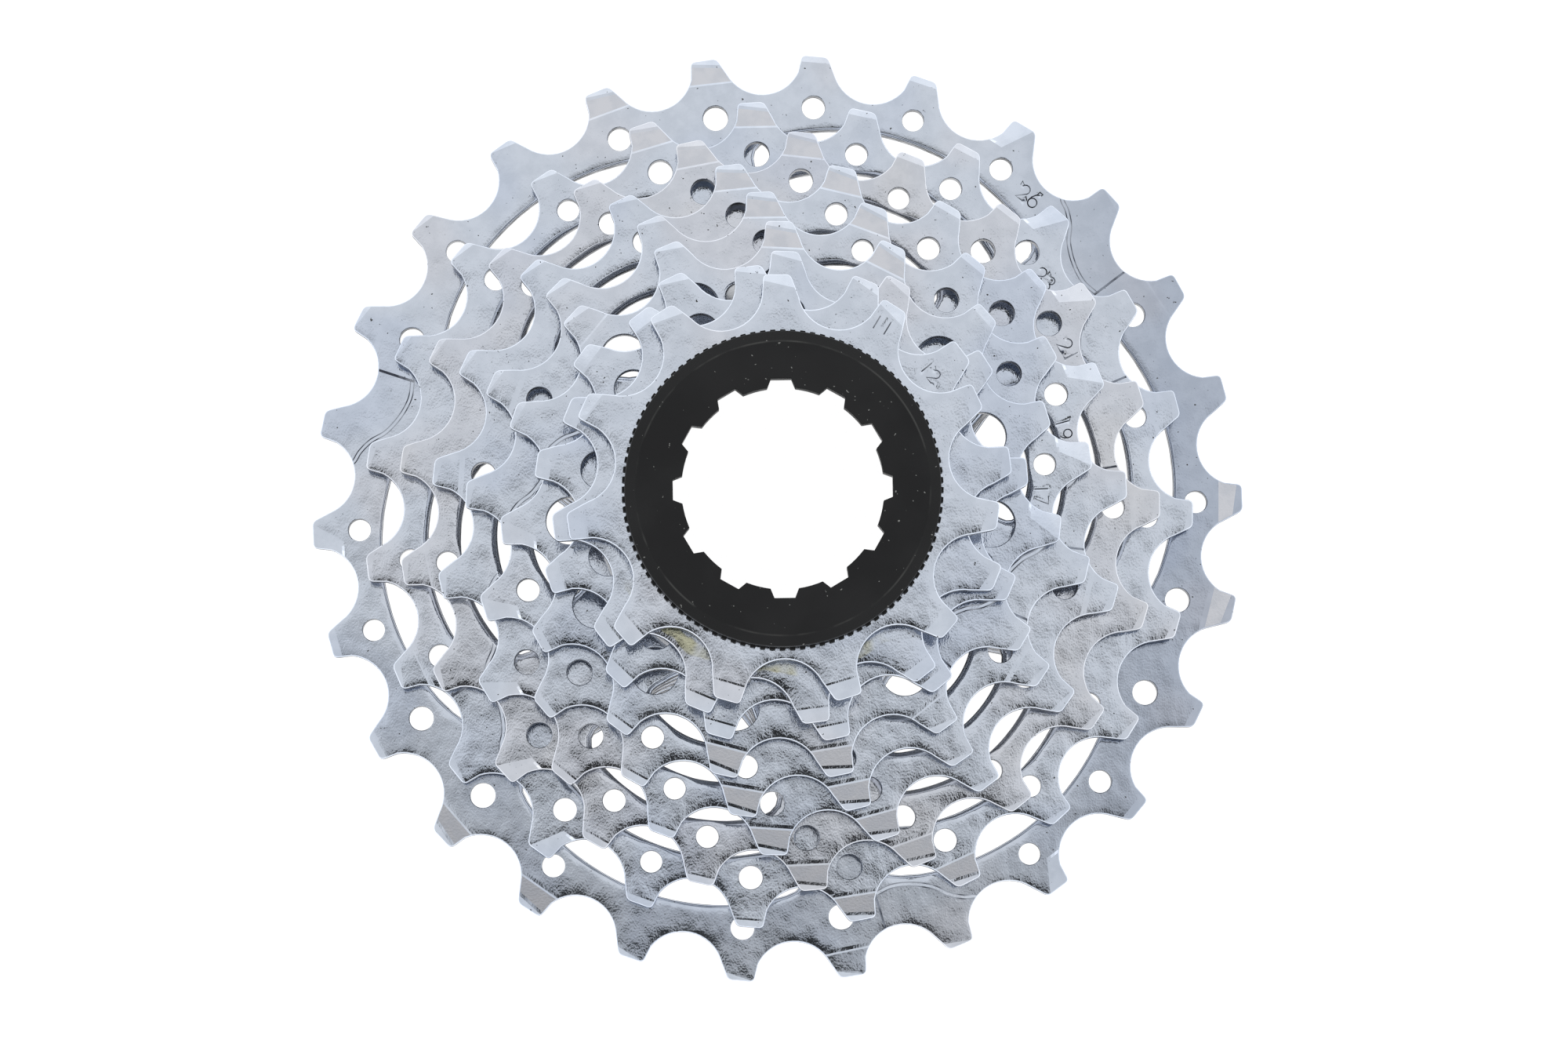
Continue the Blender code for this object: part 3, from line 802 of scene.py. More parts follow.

# %% [markdown]
# ## Shifting ramps
# A ramp is a shallow pocket under one tooth. Its near side is a straight wall on a line from the
# axle, and its other side is a curve that rises from there to the next gap. The press leaves the
# curve as a small terrace. The terrace's two borders and the wall are painted dark, as painted
# shade for the shadow in those creases. The pocket is drawn in shares of a tooth's pitch, so that
# one shape fits every plate.

# %% Ramps
RAMP_WALL = ((-0.60, 2.0), (-0.62, -4.3))
RAMP_CURVE = (
    (-0.62, -4.3),
    (-0.42, -4.7),
    (-0.20, -4.2),
    (0.0, -3.0),
    (0.12, -1.5),
    (0.24, -0.5),
    (0.36, 0.2),
    (0.44, 2.0),
)
RAMP_BEYOND = ((0.44, 9.0), (0.0, 9.0), (-0.6, 9.0))
TERRACE_REACH = (0.0, 0.14, 0.42, 0.56)
TERRACE_DEPTH = (0.0, 0.13, 0.17, 0.30)
WALL_WIDTH = 0.27
CURVE_STEPS = 5


def smooth_path(points):
    """A curve through the points, as a Catmull-Rom spline."""
    padded = np.vstack((2 * points[0] - points[1], points, 2 * points[-1] - points[-2]))
    path = []
    for a, b, c, d in zip(padded, padded[1:], padded[2:], padded[3:]):
        for t in np.arange(CURVE_STEPS) / CURVE_STEPS:
            bend = (2 * a - 5 * b + 4 * c - d) * t**2 + (3 * b - a - 3 * c + d) * t**3
            path.append(b + 0.5 * ((c - a) * t + bend))
    return np.array([*path, points[-1]])


def distance_to_path(points, path):
    """Distance from each point to an open chain of segments."""
    nearest = np.full(len(points), np.inf)
    for start, end in zip(path, path[1:]):
        edge = end - start
        share = np.clip((points - start) @ edge / (edge @ edge), 0, 1)
        foot = start + share[:, None] * edge
        nearest = np.minimum(nearest, np.hypot(*(points - foot).T))
    return nearest


def inside_loop(points, loop):
    """Whether each point is inside a closed loop."""
    inside = np.zeros(len(points), bool)
    x, y = points.T
    for (x0, y0), (x1, y1) in zip(loop, np.roll(loop, -1, 0)):
        if y0 == y1:
            continue
        crosses = (y0 > y) != (y1 > y)
        inside ^= crosses & (x < x0 + (y - y0) * (x1 - x0) / (y1 - y0))
    return inside


def side_path(path, distance):
    """The path moved to its left."""
    along = np.gradient(path, axis=0)
    along /= np.linalg.norm(along, axis=1)[:, None]
    return path + distance * np.stack((-along[:, 1], along[:, 0]), 1)


def press_ramp(relief, sprocket, index):
    """Sinks the pocket under a ramp tooth."""
    pitch = 360 / sprocket["teeth"]
    root = root_radius(sprocket["teeth"])

    def shares_to_points(shares):
        axis = tooth_angle(sprocket, index)
        return np.array([polar(root + out, axis + share * pitch) for share, out in shares])

    wall = straight_line(*shares_to_points(RAMP_WALL))
    curve = smooth_path(shares_to_points(RAMP_CURVE))
    pocket = np.vstack((wall, curve, shares_to_points(RAMP_BEYOND)))

    def depth(points):
        over_curve = np.interp(distance_to_path(points, curve), TERRACE_REACH, TERRACE_DEPTH)
        over_wall = np.interp(distance_to_path(points, wall), (0, WALL_WIDTH), (0, TERRACE_DEPTH[-1]))
        return np.where(inside_loop(points, pocket), np.minimum(over_curve, over_wall), 0)

    # Painted shade: the terrace's borders and the wall get the dark crease finish.
    def on_dark_line(points):
        to_curve = distance_to_path(points, curve)
        outer = to_curve < TERRACE_REACH[1]
        inner = (to_curve > TERRACE_REACH[2]) & (to_curve < TERRACE_REACH[3])
        at_wall = distance_to_path(points, wall) < WALL_WIDTH
        return inside_loop(points, pocket) & (outer | inner | at_wall)

    borders = [side_path(curve, -distance) for distance in TERRACE_REACH]
    borders += [side_path(wall, -distance) for distance in (0, WALL_WIDTH)]
    relief.press(borders, depth)
    relief.finish(PAINTED_CREASE_SHADE, on_dark_line)


print("points along a ramp's curve:", len(smooth_path(np.array(RAMP_CURVE))))

# %% [markdown]
# ## Stamped figures
# Most plates carry their count of teeth as small stamped figures, with their heads outwards. Each
# figure is a few strokes, drawn in a box one unit high, and a stroke is pressed in as a V groove.
# The groove is painted dark, as painted shade for the shadow in it.

# %% Figures
ARC_STEP = 24
LEAST_ARC_POINTS = 4


def bow(centre, radii, start, end):
    """Points of an arc of an ellipse, for a round part of a figure."""
    count = max(LEAST_ARC_POINTS, int(abs(end - start) / ARC_STEP))
    turns = np.radians(np.linspace(start, end, count))
    return [(centre[0] + radii[0] * math.cos(turn), centre[1] + radii[1] * math.sin(turn)) for turn in turns]


FIGURES = {
    "1": [[(0.3, 1.0), (0.3, 0.0)]],
    "2": [[*bow((0.3, 0.7), (0.3, 0.3), 165, -35), (0.0, 0.0), (0.6, 0.0)]],
    "3": [bow((0.28, 0.75), (0.26, 0.25), 150, -80), bow((0.28, 0.26), (0.3, 0.26), 80, -150)],
    "6": [bow((0.3, 0.3), (0.3, 0.3), 0, 360), bow((0.55, 0.3), (0.55, 0.7), 180, 105)],
    "7": [[(0.0, 1.0), (0.6, 1.0), (0.2, 0.0)]],
    "9": [bow((0.3, 0.7), (0.3, 0.3), 0, 360), bow((0.05, 0.7), (0.55, 0.7), 0, -75)],
}
FIGURE_SPACING = 0.85
FIGURE_MIDDLE = 0.3
STROKE_HALF_WIDTH = 0.075
STROKE_DEPTH = 0.06
# Angle, radius and height of the figures on each plate
COUNT_PLACES = {26: (52.0, 46.9, 1.8), 23: (41.5, 40.6, 1.7), 21: (29.0, 37.6, 1.7), 19: (15.5, 33.3, 1.6),
                17: (2.0, 29.4, 1.5), 12: (39.5, 21.3, 1.5), 11: (59.0, 21.3, 1.6)}


def stamp_count(relief, sprocket):
    """Presses the count of teeth into the plate."""
    if sprocket["teeth"] not in COUNT_PLACES:
        return
    angle, radius, size = COUNT_PLACES[sprocket["teeth"]]
    for place, figure in enumerate(str(sprocket["teeth"])):
        shift = FIGURE_SPACING * (place - 0.5)
        for stroke in FIGURES[figure]:
            path = np.array([
                beside_axis(-size * (x - FIGURE_MIDDLE + shift), radius + size * (y - 0.5), angle)
                for x, y in stroke
            ])

            def depth(points, path=path):
                return np.clip(1 - distance_to_path(points, path) / STROKE_HALF_WIDTH, 0, 1) * STROKE_DEPTH

            def in_stroke(points, path=path):
                return distance_to_path(points, path) < STROKE_HALF_WIDTH

            edges = [side_path(path, side * STROKE_HALF_WIDTH) for side in (-1, 1)]
            relief.press([path, *edges], depth)
            # Painted shade: a stroke's groove gets the dark crease finish.
            relief.finish(PAINTED_CREASE_SHADE, in_stroke)


print("plates with figures:", list(COUNT_PLACES))

# %% [markdown]
# ## Which tooth gets what
# The shapes come in a fixed order. After a ramp tooth comes one with a flank facet, then two with
# straight tips, two that are pressed back and chamfered at a slant, and slanted tips up to the
# tooth before the next ramp, whose base is pressed back a little. The smallest plates have no ramps.

# %% Relief of a plate
KINDS_AFTER_RAMP = ("ramp", "facet", "straight", "straight", "lowered", "lowered")
SLANTED_TIP = dict(before=-1.2, after=1.2)
TIPS = dict(
    straight=dict(before=-0.3, after=-0.3),
    long=dict(before=-0.75, after=-0.65),
    lowered=dict(before=-1.1, after=0.6, lead=0.36),
    slanted=SLANTED_TIP,
    ramp=SLANTED_TIP,
    arched=SLANTED_TIP,
)
BASES = dict(
    lowered=dict(before=-2.9, after=-2.5, drop=0.11, rubbed=True),
    arched=dict(before=-2.5, after=-3.0, drop=0.10, rubbed=False),
)


def tooth_kinds(sprocket):
    """The shape of each tooth, anticlockwise from the first."""
    teeth = sprocket["teeth"]
    kinds = ["slanted"] * teeth
    for index in sprocket.get("flat_tips", ()):
        kinds[index] = "long"
    for ramp in sprocket.get("ramps", ()):
        for offset, kind in enumerate(KINDS_AFTER_RAMP):
            kinds[(ramp + offset) % teeth] = kind
        kinds[ramp - 1] = "arched"
    return kinds


def plate_relief(sprocket):
    """All that is pressed into the front of one plate."""
    relief = Relief()
    for index, kind in enumerate(tooth_kinds(sprocket)):
        if kind == "ramp":
            press_ramp(relief, sprocket, index)
        if kind == "facet":
            cut_flank(relief, sprocket, index)
        if kind in BASES:
            press_back(relief, sprocket, index, **BASES[kind])
        if kind in TIPS:
            chamfer_tip(relief, sprocket, index, **TIPS[kind])
    stamp_count(relief, sprocket)
    return relief


print("teeth of the largest plate:", tooth_kinds(SPROCKETS[0]))

# %% [markdown]
# ## From loops to a mesh
# Blender's constrained Delaunay triangulation fills the loops and keeps every line as an edge. The
# triangles in the openings are dropped. Extra points near the edges let the face roll over softly
# there, as punched sheet does. The same triangles serve for the front and, turned round, the back.

# %% Triangulation
ROLL_RINGS = (0.2, 0.45, 0.85, 1.4)
GRID_STEP = 1.5
MERGE_DISTANCE = 0.0005
RING_ROOM = 0.93
LEAST_STRETCH = 0.5


def closed_line(loop):
    """A loop as a line that ends where it starts."""
    return np.vstack((loop, loop[:1]))


def distance_to_loops(points, loops):
    """Distance from each point to the nearest loop."""
    return np.min([distance_to_path(points, closed_line(loop)) for loop in loops], axis=0)


def shifted_loop(loop, distance):
    """A loop moved to its left, which is inwards on an anticlockwise loop."""
    before = loop - np.roll(loop, 1, 0)
    after = np.roll(loop, -1, 0) - loop
    before /= np.linalg.norm(before, axis=1)[:, None]
    after /= np.linalg.norm(after, axis=1)[:, None]
    left = np.stack((-(before + after)[:, 1], (before + after)[:, 0]), 1)
    left /= np.linalg.norm(left, axis=1)[:, None]
    aside = np.stack((-before[:, 1], before[:, 0]), 1)
    stretch = np.clip(np.sum(left * aside, 1), LEAST_STRETCH, 1)
    return loop + left * (distance / stretch)[:, None]


def in_face(points, outline, holes):
    """Whether points are inside the outline and outside every hole."""
    inside = inside_loop(points, outline)
    for hole in holes:
        inside &= ~inside_loop(points, hole)
    return inside


def face_points(outline, holes):
    """Loose points inside a face: rings along its edges and a coarse grid between them."""
    loops = [outline, *holes]
    kept = []
    for ring in ROLL_RINGS:
        moved = np.vstack([shifted_loop(outline, ring), *[shifted_loop(hole, -ring) for hole in holes]])
        kept.append(moved[distance_to_loops(moved, loops) > RING_ROOM * ring])
    reach = np.abs(outline).max()
    steps = np.arange(-reach, reach, GRID_STEP)
    grid = np.array([(x + (row % 2) * GRID_STEP / 2, y) for row, y in enumerate(steps) for x in steps])
    kept.append(grid[distance_to_loops(grid, loops) > ROLL_RINGS[-1] + GRID_STEP / 3])
    points = np.vstack(kept)
    return points[in_face(points, outline, holes)]


def triangulate(outline, holes, lines, loose):
    """Points and triangles of a face, and the edges that lie on lines."""
    points = []
    edges = []
    for loop in [outline, *holes]:
        first = len(points)
        points.extend(loop)
        edges.extend((first + i, first + (i + 1) % len(loop)) for i in range(len(loop)))
    line_start = len(edges)
    for line in lines:
        first = len(points)
        points.extend(line)
        edges.extend((first + i, first + i + 1) for i in range(len(line) - 1))
    points.extend(loose)
    made = delaunay_2d_cdt([Vector(point) for point in points], edges, [], 0, MERGE_DISTANCE)
    flat = np.array([tuple(point) for point in made[0]])
    triangles = np.array(made[2])
    triangles = triangles[in_face(flat[triangles].mean(1), outline, holes)]
    used = np.unique(triangles)
    number = np.full(len(flat), -1)
    number[used] = np.arange(len(used))
    of_lines = [max(sources, default=0) >= line_start for sources in made[4]]
    on_lines = [number[list(edge)] for edge, kept in zip(made[1], of_lines) if kept]
    return flat[used], number[triangles], [edge for edge in on_lines if min(edge) >= 0]


print("rings of points along an edge:", len(ROLL_RINGS))

# %% [markdown]
# ## Edges
# No punched edge is perfectly sharp, and the thin bright line around each tooth is its edge: a
# narrow bevel that mirrors the bright ring of the studio, and a small round below it. The windows
# have a wide round edge, whose steep part is torn and dark. The border of the triangles is followed
# loop by loop, and rings of faces are laid from it: over the edge, down the wall, and in again at
# the back. How far an edge reaches into the face is a number for each loop, and an edge keeps clear
# of its neighbours.

# %% Skin
EDGE_REACH = 0.13
HOLE_REACH = 0.08
ROOM_SHARE = 0.4
BEVEL = ((0.45, 0.25), (0.8, 0.6), (1.0, 1.1))
ROUND_SLOPES = (8, 17, 28, 42, 58, 75, 90)
DARK_SLOPE = 58
ROUND = [(math.sin(math.radians(slope)), 1 - math.cos(math.radians(slope))) for slope in ROUND_SLOPES]
BACK_REACH = 0.06


class Skin:
    """Points and faces of one closed mesh, in millimetres."""

    def __init__(self):
        self.points = []
        self.faces = []
        self.finishes = []
        self.creases = []

    def add(self, flat, heights):
        """Adds points and returns their numbers."""
        first = len(self.points)
        self.points.extend((x, y, z) for (x, y), z in zip(flat, heights))
        return np.arange(first, len(self.points))

    def fill(self, faces, finishes):
        """Adds faces, each with the number of its finish."""
        self.faces.extend(tuple(map(int, face)) for face in faces)
        self.finishes.extend(map(int, finishes))

    def band(self, upper, lower, finish=PLATED):
        """Joins two closed rings with quads."""
        faces = np.stack((upper, lower, np.roll(lower, -1), np.roll(upper, -1)), 1)
        self.fill(faces, [finish] * len(faces))

    def crease(self, ring):
        """Keeps a closed ring of edges sharp."""
        self.creases += zip(ring, np.roll(ring, -1))

    def to_object(self, name, materials, body, slot, *nodes):
        """Makes the object, which stands for its CAD nodes and rides on their body."""
        mesh = bpy.data.meshes.new(name)
        mesh.from_pydata(np.array(self.points) * MM, [], self.faces)
        mesh.shade_smooth()
        sharp = {tuple(sorted(map(int, crease))) for crease in self.creases}
        for edge in mesh.edges:
            edge.use_edge_sharp = tuple(sorted(edge.vertices)) in sharp
        for material in materials:
            mesh.materials.append(material)
        mesh.polygons.foreach_set("material_index", np.minimum(self.finishes, len(materials) - 1))
        piece = bpy.data.objects.new(name, mesh)
        bpy.context.scene.collection.objects.link(piece)
        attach(piece, body)
        if nodes:
            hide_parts(*nodes)
        return piece


def border_loops(triangles):
    """The loops of edges that have a triangle on one side only, with the face on their left."""
    edges = {(a, b) for t in triangles.tolist() for a, b in ((t[0], t[1]), (t[1], t[2]), (t[2], t[0]))}
    follow = {a: b for a, b in edges if (b, a) not in edges}
    loops = []
    while follow:
        loop = [next(iter(follow))]
        while loop[-1] in follow:
            loop.append(follow.pop(loop[-1]))
        assert loop.pop() == loop[0], "two loops touch"
        loops.append(np.array(loop))
    return loops


def room_at_edges(loops, reaches):
    """How far each loop's edge goes into the face at each of its points."""
    rooms = []
    for loop, reach in zip(loops, reaches):
        others = [other for other in loops if other is not loop]
        near = distance_to_loops(loop, others) if others else np.inf
        rooms.append(np.minimum(reach, ROOM_SHARE * near))
    return rooms


def is_wide(reach):
    """Whether an edge is a wide round, and not a bevel."""
    return reach.max() > 2 * EDGE_REACH


def edge_rings(reach):
    """Steps out and down from a face to its wall, with the finish of each: a bevel or a wide round."""
    if not is_wide(reach):
        return [(out * reach, down * reach, PLATED) for out, down in BEVEL]
    finishes = [PUNCHED if slope > DARK_SLOPE else PLATED for slope in ROUND_SLOPES]
    return [(out * reach, down * reach, finish) for (out, down), finish in zip(ROUND, finishes)]


def build_slab(loops, reaches, front, back, lines, loose=None, finish_at=None):
    """A closed slab between a front and a back height, inside its first loop and around the others."""
    rooms = room_at_edges(loops, reaches)
    outline = shifted_loop(loops[0], rooms[0])
    holes = [shifted_loop(loop, -room) for loop, room in zip(loops[1:], rooms[1:])]
    if loose is None:
        loose = face_points(outline, holes)
    flat, triangles, creases = triangulate(outline, holes, lines, loose)
    skin = Skin()
    top = front(flat)
    bottom = back(flat)
    upper = skin.add(flat, top)
    lower = skin.add(flat, bottom)
    middles = flat[triangles].mean(1)
    skin.fill(upper[triangles], finish_at(middles) if finish_at else np.full(len(middles), PLATED))
    skin.fill(lower[triangles[:, ::-1]], np.full(len(middles), SATIN))
    skin.creases = [(side[a], side[b]) for a, b in creases for side in (upper, lower)]
    for border in border_loops(triangles):
        away = [distance_to_path(flat[border], closed_line(loop)) for loop in loops]
        reach = min(away, key=np.max)
        rings = [upper[border]]
        for out, down, finish in edge_rings(reach):
            rings.append(skin.add(shifted_loop(flat[border], -out), top[border] - down))
            skin.band(*rings[-2:], finish)
        if not is_wide(reach):
            skin.crease(rings[0])
            skin.crease(rings[1])
        previous = rings[-1]
        for inset, lift, finish in ((0, BACK_REACH, PUNCHED), (BACK_REACH, 0, SATIN)):
            ring = skin.add(shifted_loop(flat[border], inset - reach), bottom[border] + lift)
            skin.band(previous, ring, finish)
            previous = ring
        skin.band(previous, lower[border], SATIN)
        skin.crease(previous)
    return skin


print("faces across a bevel and a wide round:", len(BEVEL), len(ROUND))

# %% [markdown]
# ## Making the plates
# The front height is the plate's thickness less its relief and its rolled edges. The back is flat on
# most plates. The two smallest have a collar behind them, in one piece, that stands in for a spacer:
# two circles very close together make its wall. The front of the smallest has a lip that reaches
# further in than the keys, for the lockring to press on.

# %% Plates
ROLL_WIDTH = 1.2
TOOTH_ROLL = 0.036
WINDOW_ROUND = 0.7
WINDOW_ROLL_WIDTH = 0.5
WINDOW_ROLL = 0.016
WALL_SLANT = 0.02
COLLAR_HEIGHT = 2.44
LIP_RADIUS = 15.7
LIP_THICKNESS = 0.9
LIP_STEPS = 120


def body_of_plate(sprocket):
    """The CAD body that a plate rides on."""
    place = SPROCKETS.index(sprocket)
    return "cluster" if place < CLUSTER_PLATES else f"loose_{sprocket['teeth']}t"


def near_rivets(points):
    """Whether points are in the recess around a rivet."""
    rings = rivet_circles(RIVET_RECESS + WALL_SLANT / 2)
    return np.any([inside_loop(points, ring) for ring in rings], axis=0)


def build_plate(sprocket, main_steel):
    """One sprocket with its relief."""
    teeth = sprocket["teeth"]
    low = plate_base(sprocket)
    high = low + PLATE_THICKNESS
    outline = tooth_outline(sprocket)
    bore = keyed_bore()
    smallest = sprocket is SPROCKETS[-1]
    holes = [circle(LIP_RADIUS, LIP_STEPS)] if smallest else openings(sprocket)
    windows = holes[1:ARM_COUNT + 1] if "rim_width" in sprocket else []
    flatness = sprocket.get("flatness", 1.0)
    round_edge = WINDOW_ROUND / flatness
    reaches = [EDGE_REACH, HOLE_REACH, *[round_edge] * len(windows)]
    reaches += [HOLE_REACH] * (len(holes) + 1 - len(reaches))
    relief = plate_relief(sprocket)
    lines = list(relief.lines)
    if "collar_radius" in sprocket:
        for radius in (sprocket["collar_radius"], sprocket["collar_radius"] + WALL_SLANT):
            lines.append(closed_line(circle(radius, LIP_STEPS)))
    if smallest:
        lines += [closed_line(loop) for loop in (bore, shifted_loop(bore, -WALL_SLANT))]
    sunk_back = sprocket is SPROCKETS[0]
    sunk_front = sprocket is SPROCKETS[CLUSTER_PLATES - 1]
    if sunk_back or sunk_front:
        for radius in (RIVET_RECESS, RIVET_RECESS + WALL_SLANT):
            lines += [closed_line(ring) for ring in rivet_circles(radius)]

    def front(points):
        beyond = distance_to_loops(points, [outline])
        roll = np.clip(1 - beyond / ROLL_WIDTH, 0, 1) ** 2 * TOOTH_ROLL / flatness
        if windows:
            beyond = distance_to_loops(points, windows) - round_edge
            roll += np.clip(1 - beyond / WINDOW_ROLL_WIDTH, 0, 1) ** 2 * WINDOW_ROLL
        sunk = RIVET_RECESS_DEPTH * near_rivets(points) if sunk_front else 0
        return high - relief.depth(points) - roll * relief.roll_left(points) - sunk

    def back(points):
        heights = np.full(len(points), low)
        if "collar_radius" in sprocket:
            within = np.hypot(*points.T) < sprocket["collar_radius"] + WALL_SLANT / 2
            heights[within] = low - COLLAR_HEIGHT
        if smallest:
            heights[inside_loop(points, shifted_loop(bore, -WALL_SLANT / 2))] = high - LIP_THICKNESS
        if sunk_back:
            heights += RIVET_RECESS_DEPTH * near_rivets(points)
        return heights

    skin = build_slab([outline, *holes], reaches, front, back, lines, finish_at=relief.finish_at)
    finishes = (main_steel, crease_shade_steel, rubbed_steel, punched_steel, satin_steel)
    name = f"stamped_sprocket_{teeth}"
    return skin.to_object(name, finishes, body_of_plate(sprocket), "plated_steel", f"sprocket_{teeth}t")


PLATE_STEELS = {26: bluish_steel, 21: straw_steel, 12: tarnished_steel}
for sprocket in SPROCKETS:
    plate = build_plate(sprocket, PLATE_STEELS.get(sprocket["teeth"], steel))
    print(plate.name, "faces:", len(plate.data.polygons))

# %% [markdown]
# ## Spacer rings
# The spacers are turned rings. A lathe helper draws a profile of radii and heights and turns it
# about the axle. Small chamfers and two shallow grooves on the outside catch the light where the
# rings show through the windows.


# %% Lathe
def lathe(profile, steps, centre=(0.0, 0.0)):
    """Turns a closed profile of (radius, height) points, given anticlockwise, about an upright axis."""
    skin = Skin()
    rings = []
    for radius, height in profile:
        ring = circle(radius, steps, centre)
        rings.append(skin.add(ring, np.full(steps, height)))
    for first, second in zip(rings, rings[1:] + rings[:1]):
        skin.band(second, first)
    return skin


print("faces of a plain ring of 12 steps:", len(lathe([(1, 0), (2, 0), (2, 1), (1, 1)], 12).faces))

# %% Spacer metal
MARK_SCALE = 5000.0
MARK_RANGE = (0.2, 0.8)
MARK_POLISH = 0.08
MARK_DEPTH = 0.00001
TURNED_CLOUDS = dict(scale=150.0, low=0.3, high=0.7)
TURNED_SHADE = 0.75


def turned_metal(name, colour, roughness):
    """Metal with fine turning marks that run round the axle."""
    material, tree, shader, place = new_finish(name)
    height = new_node(tree, "ShaderNodeSeparateXYZ", {0: place}).outputs["Z"]
    rings = new_node(tree, "ShaderNodeCombineXYZ", {0: axle_distance(tree, place), 1: height}).outputs[0]
    marks = noise(tree, rings, MARK_SCALE, 3.0)
    cloud = noise_patches(tree, place, **TURNED_CLOUDS)
    darker = tuple(TURNED_SHADE * value for value in colour)
    polish = smooth_range(tree, marks, *MARK_RANGE, roughness - MARK_POLISH, roughness + MARK_POLISH)
    coat(tree, shader, mix_colour(tree, cloud, colour, darker), polish, marks, MARK_DEPTH)
    return material


spacer_metal = turned_metal("spacer_metal", (0.52, 0.53, 0.55), 0.3)
print("spacer metal nodes:", len(spacer_metal.node_tree.nodes))

# %% Spacers
FACE_GAP = 0.1
SPACER_INNER = 17.6
SPACER_OUTER = 20.8
SPACER_CHAMFER = 0.3
GROOVE_DEPTH = 0.25
GROOVES = (
    (-0.55, 0), (-0.4, GROOVE_DEPTH), (-0.25, 0),
    (0.25, 0), (0.4, GROOVE_DEPTH), (0.55, 0),
)
RING_STEPS = 144
CREASE_ANGLE = math.radians(30)

for behind, ahead in zip(SPROCKETS[:CLUSTER_PLATES], SPROCKETS[1:]):
    low = plate_base(behind) + PLATE_THICKNESS + FACE_GAP
    high = plate_base(ahead) - FACE_GAP
    middle = (low + high) / 2
    grooves = [(SPACER_OUTER - dip, middle + lift) for lift, dip in GROOVES]
    profile = [
        (SPACER_INNER + SPACER_CHAMFER, low),
        (SPACER_OUTER - SPACER_CHAMFER, low),
        (SPACER_OUTER, low + SPACER_CHAMFER),
        *grooves,
        (SPACER_OUTER, high - SPACER_CHAMFER),
        (SPACER_OUTER - SPACER_CHAMFER, high),
        (SPACER_INNER + SPACER_CHAMFER, high),
        (SPACER_INNER, high - SPACER_CHAMFER),
        (SPACER_INNER, low + SPACER_CHAMFER),
    ]
    names = f"{behind['teeth']}t_{ahead['teeth']}t"
    body = "loose_spacer" if behind is SPROCKETS[CLUSTER_PLATES - 1] else "cluster"
    ring = lathe(profile, RING_STEPS).to_object(
        f"turned_spacer_{names}", [spacer_metal], body, "spacer_alloy", f"spacer_{names}"
    )
    ring.data.set_sharp_from_angle(angle=CREASE_ANGLE)
    print(ring.name, "from", round(low, 2), "to", round(high, 2))

# %% [markdown]
# ## Rivets
# Three rivets hold the six largest plates together. Their heads sit in recesses of the outermost
# plates. They are small lathe shapes with a domed head at each end.

# %% Rivets
RIVET_SHAFT = 1.2
RIVET_HEAD = 1.55
RIVET_HEAD_HEIGHT = 0.6
RIVET_STEPS = 36
RIVET_CREASE_ANGLE = math.radians(40)
RIVET_END = (
    (0.001, 0.0),
    (0.8 * RIVET_HEAD, 0.08),
    (RIVET_HEAD, 0.3),
    (RIVET_HEAD, RIVET_HEAD_HEIGHT),
    (RIVET_SHAFT, RIVET_HEAD_HEIGHT),
)

rivet_metal = turned_metal("rivet_metal", (0.55, 0.56, 0.58), 0.32)
rivet_low = FACE_GAP
rivet_high = plate_base(SPROCKETS[CLUSTER_PLATES - 1]) + PLATE_THICKNESS - FACE_GAP
profile = [(radius, rivet_low + lift) for radius, lift in RIVET_END]
profile += [(radius, rivet_high - lift) for radius, lift in reversed(RIVET_END)]
for index, centre in enumerate(rivet_centres()):
    rivet = lathe(profile, RIVET_STEPS, centre).to_object(
        f"domed_rivet_{index + 1}", [rivet_metal], "cluster", "rivet_steel", f"rivet_{index + 1}"
    )
    rivet.data.set_sharp_from_angle(angle=RIVET_CREASE_ANGLE)
    print(rivet.name, "at", centre.round(2))

# %% [markdown]
# ## Black coating
# The lockring and its washer are black. The coating is matte: fine dust lies on it, and it is a
# lighter grey in broken patches along the crest around the lockring's face.

# %% Black material
BLACK_TINTS = ((0.008, 0.008, 0.0085), (0.013, 0.013, 0.0135))
BLACK_CLOUDS = dict(scale=120.0, low=0.35, high=0.7, detail=4.0)
CREST_GREY = (0.05, 0.05, 0.048)
CREST_RADIUS = 16.2
CREST_SOFT = 0.16
CREST_PATCHES = dict(scale=150.0, low=0.44, high=0.6, detail=4.0)
DUST_TINT = (0.22, 0.22, 0.21)
DUST = dict(scale=2300.0, low=0.76, high=0.79, detail=1.0)
COATING_SHINE = 0.22
COATING_ROUGHNESS = (0.42, 0.58)
COATING_SKIN_SCALE = 3500.0
COATING_SKIN_DEPTH = 0.000012


def black_coating(name):
    """Matte black with dust specks, faint clouds and lighter grey patches along the crest."""
    material, tree, shader, place = new_finish(name, metallic=0.0)
    cloud = noise_patches(tree, place, **BLACK_CLOUDS)
    colour = mix_colour(tree, cloud, *BLACK_TINTS)
    crest = ring_share(tree, axle_distance(tree, place), CREST_RADIUS, CREST_RADIUS, CREST_SOFT)
    patches = noise_patches(tree, place, **CREST_PATCHES)
    # Lighter grey in broken patches along the crest of the chamfer.
    colour = mix_colour(tree, math_node(tree, "MULTIPLY", crest, patches), colour, CREST_GREY)
    dust = noise_patches(tree, place, **DUST)
    colour = mix_colour(tree, dust, colour, DUST_TINT)
    shader.inputs["Specular IOR Level"].default_value = COATING_SHINE
    polish = smooth_range(tree, cloud, 0.0, 1.0, *COATING_ROUGHNESS)
    coat(tree, shader, colour, polish, noise(tree, place, COATING_SKIN_SCALE), COATING_SKIN_DEPTH)
    return material


coating = black_coating("black_coating")
print("coating nodes:", len(coating.node_tree.nodes))

# %% [markdown]
# ## Lockring and washer
# The lockring is a flange with twelve notches for its tool and a threaded sleeve behind. The notches
# end a little below the flange, and the sleeve is wider inside. Under the rim sits a washer with a
# hundred fine teeth. Both are slabs like the plates, drawn from loops.

